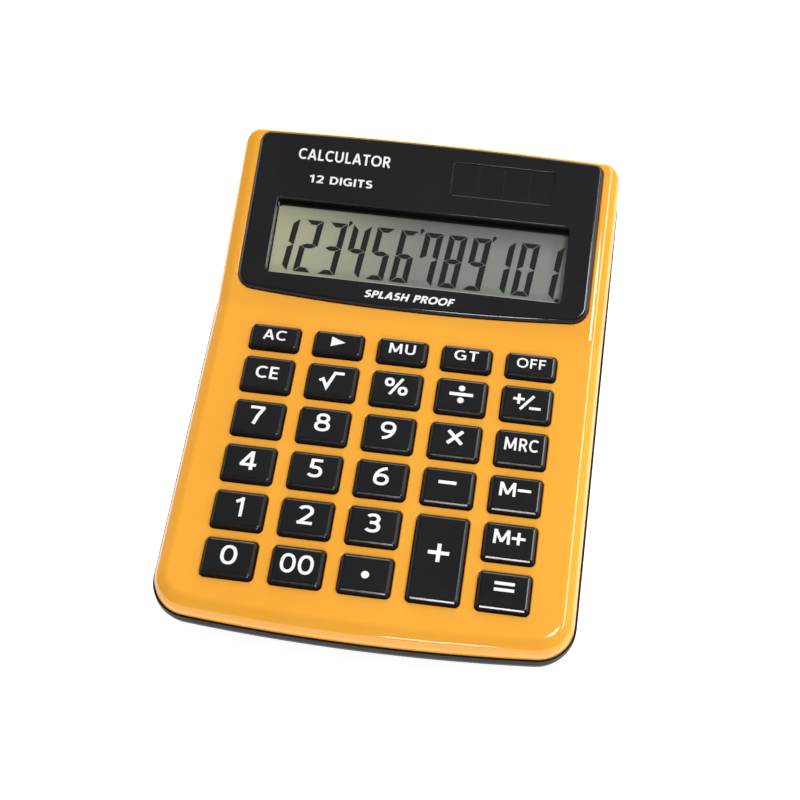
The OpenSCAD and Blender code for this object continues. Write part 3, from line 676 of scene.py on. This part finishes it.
def bezel():
    rings = [at_z(bezel_plan(i, i * BEZEL_BACK_SHARE), n) for i, n in BEZEL_EDGE]
    mesh = new_mesh("bezel", loft(rings), TILTED)
    view_x, view_s = (-VIEW_W / 2, VIEW_W / 2), (VIEW_NEAR, VIEW_FAR)
    view = hole(lambda g: box_outline(view_x, view_s, 1.2, g), -3, BEZEL_TOP, 0.2)
    sun = hole(lambda g: box_outline(SOLAR_X, SOLAR_S, SOLAR_CORNER, g), -3, BEZEL_TOP, 0.15)
    return cut(mesh, new_mesh("windows", joined(view, sun), TILTED))


piece(bezel(), BEZEL_BLACK, flats=(TILTED_UP,), nodes=["display_bezel"])

pane_edge = fillet([(0.15, -2.7), (0, -2.6), (0, -1.8), (0.15, -1.7)], [0.02, 0.02], 2)
pane_rings = [at_z(box_outline(PANE_X, PANE_S, 1.4, -i), n) for i, n in pane_edge]
pane_mesh = new_mesh("pane", loft(pane_rings), TILTED)
pad_outline = box_outline(SOLAR_X, SOLAR_S, SOLAR_CORNER, -0.1)
raised = prism(pad_outline, -2, PAD_TOP)
pane_mesh = cut(pane_mesh, new_mesh("raised", raised, TILTED), "UNION")
piece(pane_mesh, PANE, flats=(TILTED_UP,), nodes=["display_window"])
film = prism(pad_outline, PAD_TOP + 0.01, PAD_TOP + 0.05)
piece(new_mesh("solar_film", film, TILTED), SOLAR, flats=(TILTED_UP,))


def segment_shapes():
    """The seven segments of a digit, upright: x from -w to 0 and y from 0 to h."""
    w, h, tv, th, gap = 4.95, 15.45, 1.62, 1.34, 0.11
    mid = h / 2
    upper = [(-w, mid + gap), (-w, h - gap), (-w + gap, h - gap), (-w + tv, h - th - 0.18),
             (-w + tv, mid + th / 2 + gap), (-w + 0.35, mid + gap)]
    top = [(-w + 2 * gap, h), (-2 * gap, h), (-tv - gap, h - th), (-w + tv + gap, h - th)]
    middle = [(-w + 0.45, mid), (-w + tv + 0.1, mid + th / 2), (-tv - 0.1, mid + th / 2),
              (-0.45, mid), (-tv - 0.1, mid - th / 2), (-w + tv + 0.1, mid - th / 2)]
    flip_x = lambda s: [(-w - x, y) for x, y in s]
    flip_y = lambda s: [(x, h - y) for x, y in s]
    return {"a": top, "b": flip_x(upper), "c": flip_y(flip_x(upper)), "d": flip_y(top),
            "e": flip_y(upper), "f": upper, "g": middle}


# the segments lit for each digit
LIT = {"0": "abcdef", "1": "bc", "2": "abged", "3": "abgcd", "4": "fgbc", "5": "afgcd",
       "6": "afgedc", "7": "abcf", "8": "abcdefg", "9": "abcdfg"}


def ccw(points):
    area = sum(a[0] * b[1] - b[0] * a[1] for a, b in zip(points, points[1:] + points[:1]))
    return points if area > 0 else points[::-1]


def readout(z0, z1):
    """The number on the display: twelve slanted digits, with marks between the thousands."""
    shapes, slant, near, pitch, right = segment_shapes(), 0.104, 12.2, 6.632, -35.1
    parts = []
    for i, digit in enumerate("123456789101"):
        for s in LIT[digit]:
            put = [(right + i * pitch + x + slant * y, near + y) for x, y in shapes[s]]
            parts.append(prism(ccw(put), z0, z1))
        if i in (2, 5, 8):
            x, y = right + i * pitch + 2.31, near + 15.9
            tail = [(x - 0.5, y), (x + 0.5, y), (x - 0.25, y - 1.2), (x - 0.5, y - 1.2)]
            parts += [prism(circle(0.52, (x, y), 20), z0, z1)]
            parts += [prism(ccw(tail), z0 + 0.001, z1 - 0.001)]
    parts.append(prism(circle(0.62, (right + 11 * pitch + 1.0, near - 0.25), 20), z0, z1))
    return joined(*parts)


piece(new_mesh("lcd_digits", readout(*DIGITS_N), TILTED), SEGMENT, flats=(TILTED_UP,))
# a dark border printed under the pane, widened at the far side as a painted shadow of the opening's far wall
# on the display
mask = new_mesh("lcd_border_and_shade", prism(box_outline((-42.5, 42.5), (8.4, 34), 0.6), *BORDER_SHADE_N), TILTED)
mask = cut(mask, new_mesh("sight", prism(box_outline((-39.9, 40.7), (9.4, 31.1), 1.0), -3, -2), TILTED))
piece(mask, SEGMENT, flats=(TILTED_UP, -TILTED_UP))
# painted highlight: a pale strip along the display's near edge, standing in for the near rim's reflection
rim_highlight = prism(box_outline((-40.4, 40.6), (10.4, 11.5), 0.3), *RIM_HIGHLIGHT_N)
piece(new_mesh("lcd_highlight_strip", rim_highlight, TILTED), RIM_HIGHLIGHT, flats=(TILTED_UP,))

# ---------------------------------------------------------------- lettering


def oval(cx, cy, rx, ry, a0=0.0, a1=360.0, n=30, power=2.25):
    """Points along a slightly squared ellipse, from angle a0 to a1."""
    out = []
    for k in range(n + 1):
        a = math.radians(a0 + (a1 - a0) * k / n)
        c, s = math.cos(a), math.sin(a)
        x, y = math.copysign(abs(c) ** (2 / power), c), math.copysign(abs(s) ** (2 / power), s)
        out.append((cx + rx * x, cy + ry * y))
    return out


def ring(*args):
    return oval(*args)[:-1] + ["closed"]


def strokes_of(char, h):
    """The width and the middle lines of a plain sans glyph, for strokes of half width h.

    The capitals are 1 high.
    """
    top, low, mid = 1 - h, h, 0.5
    stem = [(0.13, 0), (0.13, 1)]
    six = [ring(0.365, 0.07 + 0.245, 0.275, 0.235), oval(0.63, 0.355, 0.54, 0.565, 94, 182, 16, 2)]
    waist = 0.475
    bowl_curve = oval(0.33, (top + waist) / 2, 0.215, (top - waist) / 2, 90, -90, 16)
    bowl = [(0.10, top), (0.32, top), *bowl_curve, (0.10, waist)]
    return {
        "0": (0.73, [ring(0.365, 0.5, 0.28, 0.415)]),
        "1": (0.60, [[(0.40, 0), (0.40, 1)], [(0.10, 0.745), (0.42, 0.93)]]),
        "2": (0.70, [oval(0.335, 0.69, 0.245, 0.228, 158, -22, 18)
                     + [(0.44, 0.43), (0.27, 0.24), (0.12, 0.07)], [(0.04, low), (0.655, low)]]),
        "3": (0.68, [oval(0.315, 0.715, 0.225, 0.20, 152, -90, 20) + [(0.20, 0.515)],
                     [(0.20, 0.515)] + oval(0.315, 0.30, 0.265, 0.217, 90, -150, 22)]),
        "4": (0.74, [[(0.505, 0), (0.505, 1)], [(0.03, 0.27), (0.715, 0.27)],
                     [(0.475, 0.945), (0.085, 0.285)]]),
        "5": (0.68, [[(0.615, top), (0.13, top)], [(0.20, 0.98), (0.165, 0.50)],
                     oval(0.315, 0.32, 0.265, 0.238, 118, -150, 22)]),
        "6": (0.72, six),
        "7": (0.68, [[(0.035, top), (0.655, top)], [(0.615, 0.93), (0.40, 0.47), (0.265, 0)]]),
        "8": (0.73, [ring(0.365, 0.725, 0.225, 0.195), ring(0.365, 0.30, 0.275, 0.218)]),
        "9": (0.72, [[q if q == "closed" else (0.72 - q[0], 1 - q[1]) for q in part] for part in six]),
        "A": (0.76, [[(0.075, 0), (0.365, 0.985)], [(0.685, 0), (0.395, 0.985)],
                     [(0.18, 0.29), (0.58, 0.29)]]),
        "C": (0.70, [oval(0.425, 0.5, 0.335, 0.415, 50, 310)]),
        "D": (0.80, [stem, [(0.10, top), (0.30, top), *oval(0.32, 0.5, 0.37, 0.415, 88, -88, 24),
                            (0.30, low), (0.10, low)]]),
        "E": (0.60, [stem, [(0.1, top), (0.56, top)], [(0.1, mid), (0.52, mid)], [(0.1, low), (0.57, low)]]),
        "F": (0.57, [stem, [(0.1, top), (0.56, top)], [(0.1, 0.49), (0.51, 0.49)]]),
        "G": (0.82, [oval(0.43, 0.5, 0.335, 0.415, 50, 292) + [(0.70, 0.14)],
                     [(0.70, 0.07), (0.70, 0.50)], [(0.47, 0.46), (0.78, 0.46)]]),
        "H": (0.78, [stem, [(0.65, 0), (0.65, 1)], [(0.1, mid), (0.68, mid)]]),
        "I": (0.26, [stem]),
        "L": (0.56, [stem, [(0.1, low), (0.54, low)]]),
        "M": (0.98, [[(0.125, 0), (0.145, 1)], [(0.855, 0), (0.835, 1)],
                     [(0.16, 0.97), (0.49, 0.14)], [(0.82, 0.97), (0.49, 0.14)]]),
        "O": (0.88, [ring(0.44, 0.5, 0.355, 0.415)]),
        "P": (0.63, [stem, bowl]),
        "R": (0.68, [stem, bowl, [(0.34, 0.50), (0.605, 0)]]),
        "S": (0.62, [oval(0.325, 0.715, 0.215, 0.20, 40, 232, 18) + [(0.31, 0.515)]
                     + oval(0.295, 0.30, 0.23, 0.217, 56, -145, 20)]),
        "T": (0.66, [[(0.33, 0), (0.33, 1)], [(0.03, top), (0.63, top)]]),
        "U": (0.80, [[(0.13, 1), (0.13, 0.42), *oval(0.40, 0.40, 0.27, 0.317, 180, 360, 20),
                      (0.67, 0.42), (0.67, 1)]]),
        "%": (1.18, [ring(0.255, 0.735, 0.165, 0.195), ring(0.925, 0.265, 0.165, 0.195),
                     [(0.865, 1), (0.315, 0)]]),
    }[char]


GLYPHS = {}


def glyph(char, t):
    """One glyph as a flat-sided solid of height 1, its strokes united."""
    if (char, t) not in GLYPHS:
        width, lines = strokes_of(char, t / 2)
        mesh = None
        for line in lines:
            closed = line[-1] == "closed"
            part = new_mesh("stroke", ribbon(line[:-1] if closed else line, t, closed))
            mesh = part if mesh is None else cut(mesh, part, "UNION")
        verts = [tuple(v.co / MM) for v in mesh.vertices]
        GLYPHS[char, t] = (width, verts, [tuple(f.vertices) for f in mesh.polygons])
        bpy.data.meshes.remove(mesh)
    return GLYPHS[char, t]


def ribbon(points, t, closed=False):
    """A solid band of width t and height 1 along points, with mitred corners."""
    p = [Vector(q) for q in points]
    k = len(p)
    left, right = [], []
    for i, q in enumerate(p):
        ahead = p[(i + 1) % k] - q if closed or i < k - 1 else q - p[i - 1]
        behind = q - p[i - 1] if closed or i else ahead
        u, v = ahead.normalized(), behind.normalized()
        side = (u + v).normalized()
        n = Vector((-side.y, side.x)) * (t / 2 / max(0.35, side.dot(u)))
        left.append(tuple(q + n))
        right.append(tuple(q - n))
    verts = at_z(left, 0) + at_z(right, 0) + at_z(left, 1) + at_z(right, 1)
    faces = []
    for i in range(k if closed else k - 1):
        j = (i + 1) % k
        faces += [(i, j, k + j, k + i), (2 * k + i, 3 * k + i, 3 * k + j, 2 * k + j)]
        faces += [(i, 2 * k + i, 2 * k + j, j), (k + i, k + j, 3 * k + j, 3 * k + i)]
    if not closed:
        faces += [(0, k, 3 * k, 2 * k), (k - 1, 3 * k - 1, 4 * k - 1, 2 * k - 1)]
    return verts, faces


def letters(text, height, width=None, t=0.165, lean=0.0, gap=0.09):
    """A short text as solids of height 1, centred on the origin.

    height is that of its capitals and width is overall, both in millimetres. t is the stroke's
    width as a share of the height.
    """
    x, parts = 0.0, []
    for char in text:
        if char == " ":
            x += 0.42
            continue
        w, verts, faces = glyph(char, t)
        parts.append(([(x + vx + lean * vy, vy, vz) for vx, vy, vz in verts], faces))
        x += w + gap
    verts, faces = joined(*parts)
    xs = [v[0] for v in verts]
    lo, hi = min(xs), max(xs)
    kx = width / (hi - lo) if width else height
    return [((vx - (lo + hi) / 2) * kx, (vy - 0.5) * height, vz) for vx, vy, vz in verts], faces


def flat(points):
    return prism(ccw(points), 0, 1)


def moved(shape, dx=0.0, dy=0.0):
    return [(x + dx, y + dy, z) for x, y, z in shape[0]], shape[1]


def bar(w, h, dx=0.0, dy=0.0, turn=0.0):
    c, s = math.cos(math.radians(turn)), math.sin(math.radians(turn))
    corners = ((-w / 2, -h / 2), (w / 2, -h / 2), (w / 2, h / 2), (-w / 2, h / 2))
    return flat([(dx + x * c - y * s, dy + x * s + y * c) for x, y in corners])


def cross(w, h, t, turn=0.0):
    a, b, k = w / 2, h / 2, t / 2
    p = [(-k, -b), (k, -b), (k, -k), (a, -k), (a, k), (k, k),
         (k, b), (-k, b), (-k, k), (-a, k), (-a, -k), (-k, -k)]
    c, s = math.cos(math.radians(turn)), math.sin(math.radians(turn))
    return flat([(x * c - y * s, x * s + y * c) for x, y in p])


def printed(name, shape, where, body, thick=0.03):
    """A shape printed as a thin layer. where takes a point of the printed face to its place."""
    verts, faces = shape
    mesh = new_mesh(name, ([(x, y, z * thick) for x, y, z in verts], faces), where)
    return piece(mesh, PRINT, body, flats=((where.to_3x3() @ UP).normalized(),), angle=30)


ON_BEZEL = TILTED @ Matrix.Translation((0, 0, BEZEL_TOP))
printed("print_name", moved(letters("CALCULATOR", 3.3, 25.6, 0.165), -23.55, 45.6), ON_BEZEL, CASE)
printed("print_digits", moved(letters("12 DIGITS", 2.3, 17.6, 0.19), -23.6, 38.4), ON_BEZEL, CASE)
printed("print_phrase", moved(letters("SPLASH PROOF", 2.1, 24.5, 0.21, 0.22), -0.3, 6.7), ON_BEZEL, CASE)

# ---------------------------------------------------------------- keys

# a key's section as (inset, height), from its ceiling out round the flange and up to its face
FLANGE_LOW, FLANGE_HIGH = 12.1, 12.9
KEY_EDGE = fillet([(0, FLANGE_HIGH), (0, 15.0), (0.3, 16.08), (0.66, 16.37), (1.0, KEY_TOP), (3, KEY_TOP)],
                  [0.8, 0.06, 0.2, 0.3], 4)[1:]
KEY_PATH = [(1.3, 14.9), (1.3, FLANGE_LOW), (-FLANGE, FLANGE_LOW), (-FLANGE, FLANGE_HIGH),
            (0, FLANGE_HIGH), *KEY_EDGE]


def domes(name):
    x, y, _ = key_box(name)
    rows = KEYS[name][2]
    return [(x, y + (i - (rows - 1) / 2) * PITCH_Y) for i in range(rows)]


def number(text, width=None):
    return letters(text, 5.35, width, 0.152)


def word(text, height, width):
    return letters(text, height, width, 0.155)


def dot(r, dx=0.0, dy=0.0):
    return flat(circle(r, (dx, dy), 28))


# a text's height, its width and its middle on the key
WORDS = {
    "key_memory_recall": ("MRC", 3.7, 8.7, 0, 0.85), "key_clear_entry": ("CE", 3.7, 6.0, 0, 0.2),
    "key_all_clear": ("AC", 3.1, 6.2, 0, 0.3), "key_mark_up": ("MU", 3.1, 7.0, 0, 0.4),
    "key_grand_total": ("GT", 3.1, 6.3, -0.1, 0.6), "key_off": ("OFF", 3.0, 7.6, 0, 0.4),
}
# a digit's width and its middle on the key
DIGITS = {
    "0": (4.2, 0, 0.5), "1": (None, 0, 0.55), "2": (3.9, -0.1, 0.55), "3": (3.8, -0.1, 0.55),
    "4": (4.3, 0, 0.5), "5": (3.8, 0.15, 0.5), "6": (4.0, 0, 0.55), "7": (3.9, -0.3, 0.5),
    "8": (4.1, -0.2, 0.6), "9": (4.0, -0.2, 0.45),
}
LEGENDS = {
    **{f"key_{digit}": moved(number(digit, w), x, y) for digit, (w, x, y) in DIGITS.items()},
    **{name: moved(word(text, h, w), x, y) for name, (text, h, w, x, y) in WORDS.items()},
    "key_00": moved(joined(moved(number("0", 3.9), -2.25), moved(number("0", 3.9), 2.25)), 0, 0.3),
    "key_point": dot(1.0, 0, -0.3),
    "key_plus": moved(cross(5.3, 5.0, 1.0), 0, 1.3),
    "key_equals": joined(bar(5.0, 0.85, 0, 1.9), bar(5.0, 0.85, 0, 0.2)),
    "key_memory_plus": joined(moved(word("M", 3.9, 4.2), -2.1, 1.1),
                              moved(cross(3.4, 3.4, 0.75), 2.1, 1.0)),
    "key_memory_minus": joined(moved(word("M", 3.9, 4.2), -2.1, 1.1), bar(3.4, 0.75, 2.1, 1.1)),
    "key_minus": bar(4.6, 0.9, -0.3, 0.95),
    "key_multiply": moved(cross(5.3, 5.3, 0.95, 45), 0, 0.8),
    "key_divide": joined(bar(6.2, 0.95, 0, 0.3), dot(0.85, 0, 2.1), dot(0.85, 0, -1.5)),
    "key_percent": moved(letters("%", 5.0, 6.3, 0.145), 0, 0.4),
    "key_square_root": ribbon([(-3.1, -0.3), (-2.2, 0.2), (-1.0, -2.2), (0.7, 2.3), (3.2, 2.3)], 0.85),
    "key_change_sign": joined(moved(cross(3.0, 3.0, 0.75), -2.1, 1.0), bar(5.4, 0.75, 0.1, 0.1, 52),
                              bar(3.0, 0.75, 2.3, -1.5)),
    "key_backspace": moved(flat([(-1.9, -1.5), (1.9, 0), (-1.9, 1.5)]), 0, 0.3),
}
STEEP = 0.45  # faces of a key whose normal has a smaller z than this are its walls

for name in KEYS:
    x, y, _ = key_box(name)
    stems = [lathe([(1.7, DOME_TOP), (2, DOME_TOP + 0.3), (2, 14.95)], p, 24) for p in domes(name)]
    body = joined(loft([at_z(key_outline(name, -i), z) for i, z in KEY_PATH]), *stems)
    mesh = new_mesh(name.replace("key_", "cap_"), body)
    cap = piece(mesh, [KEY_BLACK, KEY_WALL], name, (UP,), [name])
    for face in cap.data.polygons:
        face.material_index = int(face.normal.z < STEEP)
    printed(name.replace("key_", "legend_"), LEGENDS[name], Matrix.Translation((x, y, KEY_TOP)), name)

# the sheet of domes under the keys: each dome is its own piece
sheet = prism(box_outline((-45, 45), (-63, 15), 0.8), BOARD_TOP, BOARD_TOP + SHEET_T)
sheet = new_mesh("dome_sheet", sheet)
gaps = [prism(circle(r, p, 24), BOARD_TOP - 1, BOARD_TOP + 2)
        for r, ps in ((3.4, SCREW_XY), (1.9, BOARD_XY)) for p in ps]
gaps += [prism(circle(4.35, p, 32), BOARD_TOP - 1, BOARD_TOP + 2) for name in KEYS for p in domes(name)]
sheet = cut(sheet, new_mesh("gaps", joined(*gaps)))
piece(sheet, SILICONE, flats=(UP, -UP), nodes=["keypad_membrane"])
DOME = [(2.5, DOME_CEILING), (4.1, BOARD_TOP + 0.02), (4.34, BOARD_TOP + 0.02),
        (4.34, BOARD_TOP + 0.3), (3.1, DOME_TOP - 0.15), (2.9, DOME_TOP)]
PILL = [(1.45, DOME_CEILING - 0.5), (1.6, DOME_CEILING - 0.4), (1.6, DOME_CEILING)]


def squashed(key, kind, number, profile, material, flats):
    """A round piece on the board, under a key, with a mesh of its own."""
    mesh = new_mesh(key.replace("key_", kind) + (f"_{number}" if number else ""), profile)
    o = piece(mesh, material, CASE, flats=flats)
    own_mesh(o)
    return o


for name in KEYS:
    for i, p in enumerate(domes(name)):
        squashed(name, "dome_", i, lathe(DOME, p, 32), SILICONE, (UP,))
        pill = squashed(name, "pill_", i, lathe(PILL, p, 24), CARBON, (UP, -UP))
        if name == "key_0":
            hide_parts("contact_pills")

# ---------------------------------------------------------------- underside


def screw_head(name, xy, z, r, depth, tip, shank, slot_l, slot_w):
    """A screw from below: a domed head with a crossed recess, and a plain shank up to its tip."""
    head = [(r * 0.45, z), (r * 0.8, z + depth * 0.14), (r * 0.96, z + depth * 0.4),
            (r, z + depth * 0.6), (r, z + depth), (shank, z + depth), (shank, tip - shank * 0.7),
            (shank * 0.3, tip)]
    mesh = new_mesh(name, lathe(head, xy, 40))
    a, w = slot_l / 2, slot_w / 2
    k = w * 1.3
    star = [(-w, -a), (w, -a), (k, -k), (a, -w), (a, w), (k, k),
            (w, a), (-w, a), (-k, k), (-a, w), (-a, -w), (-k, -k)]
    low = [(xy[0] + x * 1.05, xy[1] + y * 1.05) for x, y in star]
    high = [(xy[0] + x * 0.7, xy[1] + y * 0.7) for x, y in star]
    return cut(mesh, new_mesh("slot", loft([at_z(low, z - 0.5), at_z(high, z + depth * 0.65)])))


def merged(name, meshes):
    bm = bmesh.new()
    for m in meshes:
        bm.from_mesh(m)
        bpy.data.meshes.remove(m)
    out = bpy.data.meshes.new(name)
    bm.to_mesh(out)
    bm.free()
    return out


screws = [screw_head("screw", p, z=1.6, r=2.5, depth=1.6, tip=11.4, shank=1.15, slot_l=2.6, slot_w=0.55)
          for p in SCREW_XY]
piece(merged("screws", screws), STEEL, nodes=["case_screws"])
cover_screw = screw_head("cover_screw", COVER_SCREW_XY, z=1.2, r=1.9, depth=0.75, tip=6.2, shank=0.95,
                         slot_l=2.0, slot_w=0.45)
piece(cover_screw, STEEL, nodes=["battery_cover_screw"])

FOOT = [(3.1, 0.0), (3.75, 0.06), (4.15, 0.28), (4.35, 0.62), (4.5, 0.95), (4.5, 1.6)]
feet = new_mesh("feet", joined(*[lathe(FOOT, p, 56) for p in FOOT_XY]))
piece(feet, RUBBER, flats=(-UP,), nodes=["rubber_feet"])


def cover():
    x0, y0, x1, y1 = COVER
    edge = fillet([(3, COVER_LOW), (0, COVER_LOW), (0, COVER_HIGH)], [0.3], 5)
    mesh = new_mesh("cover", loft([at_z(box_outline((x0, x1), (y0, y1), 2, -i), z) for i, z in edge]))
    cuts = [hole(lambda g: circle(2.1 + g, COVER_SCREW_XY, 32), 1.95, COVER_LOW, 0.15)]
    grooves = [(37, 51)] + [(38.5 + k, 49.5 - k) for k in range(3)]
    for k, ends in enumerate(grooves):
        x = x0 + 1.6 + 1.3 * k
        cuts.append(prism(box_outline((x, x + 0.6), ends, 0.25), 0.5, COVER_LOW + 0.3))
    mesh = cut(mesh, new_mesh("cuts", joined(*cuts)))
    return cut(mesh, new_mesh("bore", prism(circle(1.15, COVER_SCREW_XY, 20), 1.5, 4)))


piece(cover(), CASE_BLACK, flats=(UP, -UP), nodes=["battery_cover"])
label_edge = [(0.1, 1.08), (0, 1.1), (0, 1.22)]
label = loft([at_z(box_outline(*LABEL, 1.7, -0.4 - i), z) for i, z in label_edge])
piece(new_mesh("label", label), LABEL_PAPER, flats=(-UP,), angle=30)

# ---------------------------------------------------------------- camera, light and floor


camera_data = bpy.data.cameras.new("camera")
camera_data.sensor_width, camera_data.lens = 36.0, 77.7
camera_data.clip_start, camera_data.clip_end = 0.02, 20
camera = bpy.data.objects.new("camera", camera_data)
bpy.context.scene.collection.objects.link(camera)
right, back = Vector((0.990, 0.1404, -0.0124)), Vector((0.0813, -0.4969, 0.8640)).normalized()
right = (right - back * right.dot(back)).normalized()
up = back.cross(right)
turn = Matrix((right, up, back)).transposed().to_4x4()
camera.matrix_world = Matrix.Translation((0.0380, -0.2288, 0.4040)) @ turn
bpy.context.scene.camera = camera


def softbox(name, place, width, depth, radiance):
    """A rectangular light aimed at the object, its width across and its depth from front to back."""
    data = bpy.data.lights.new(name, "AREA")
    data.shape, data.size, data.size_y = "RECTANGLE", width, depth
    data.energy = radiance * math.pi * width * depth
    o = bpy.data.objects.new(name, data)
    bpy.context.scene.collection.objects.link(o)
    away = Vector(place).normalized()
    along = (Vector((0, 1, 0)) - away * away.y).normalized()
    turn = Matrix((along.cross(away), along, away)).transposed().to_4x4()
    o.matrix_world = Matrix.Translation(place) @ turn


softbox("key_light", (0.39, 0.12, 1.24), 0.32, 0.32, 21)
softbox("strip_light", (0.88, 0.45, 0.86), 0.22, 0.75, 10)
softbox("back_light", (-0.1, 1.15, 0.86), 0.45, 0.6, 7)
softbox("front_light", (0.02, -1.15, 0.78), 0.2, 0.2, 36)
softbox("low_light", (-0.12, 1.2, 0.19), 0.5, 0.34, 3.5)


# strengths of the surroundings, and the heights between which the horizon fades into the ceiling
HORIZON_GLOW, CEILING_GLOW, FADE_LOW, FADE_HIGH = 1.7, 0.24, 0.1, 0.5
FRONT_SHARE, LEFT_SHARE = 0.4, 0.45


def studio_world():
    """A dark ceiling over a white studio, bright round the horizon except in front and on the left."""
    world = bpy.data.worlds.new("studio")
    world.use_nodes = True
    tree = world.node_tree
    place = tree.nodes.new("ShaderNodeTexCoord")
    axes = tree.nodes.new("ShaderNodeSeparateXYZ")
    tree.links.new(place.outputs["Generated"], axes.inputs["Vector"])

    def spread(value, start, end, low, high):
        m = map_range(tree, value, start, end, low, high)
        m.interpolation_type = "SMOOTHSTEP"
        return m.outputs["Result"]

    height = spread(axes.outputs["Z"], FADE_LOW, FADE_HIGH, HORIZON_GLOW, CEILING_GLOW)
    front = spread(axes.outputs["Y"], -0.6, 0.2, FRONT_SHARE, 1.0)
    left = spread(axes.outputs["X"], -0.7, -0.2, LEFT_SHARE, 1.0)
    strength = height
    for share in (front, left):
        product = tree.nodes.new("ShaderNodeMath")
        product.operation = "MULTIPLY"
        tree.links.new(strength, product.inputs[0])
        tree.links.new(share, product.inputs[1])
        strength = product.outputs[0]
    tree.links.new(strength, tree.nodes["Background"].inputs["Strength"])
    tree.nodes["Background"].inputs["Color"].default_value = (0.97, 0.985, 1.0, 1)
    return world


bpy.context.scene.world = studio_world()

FLOOR_GLOW, FLOOR_REACH = 0.78, 12.0
floor_shader = FLOOR.node_tree.nodes["Principled BSDF"].inputs
floor_shader["Emission Color"].default_value = (1, 1, 1, 1)
floor_shader["Emission Strength"].default_value = FLOOR_GLOW
floor_mesh = bpy.data.meshes.new("floor")
corners = [(x * FLOOR_REACH, y * FLOOR_REACH, 0) for x, y in ((-1, -1), (1, -1), (1, 1), (-1, 1))]
floor_mesh.from_pydata(corners, [], [(0, 1, 2, 3)])
floor_mesh.materials.append(FLOOR)
floor = bpy.data.objects.new("floor", floor_mesh)
bpy.context.scene.collection.objects.link(floor)

scene = bpy.context.scene
scene.view_settings.view_transform = "Standard"
scene.view_settings.look = "None"
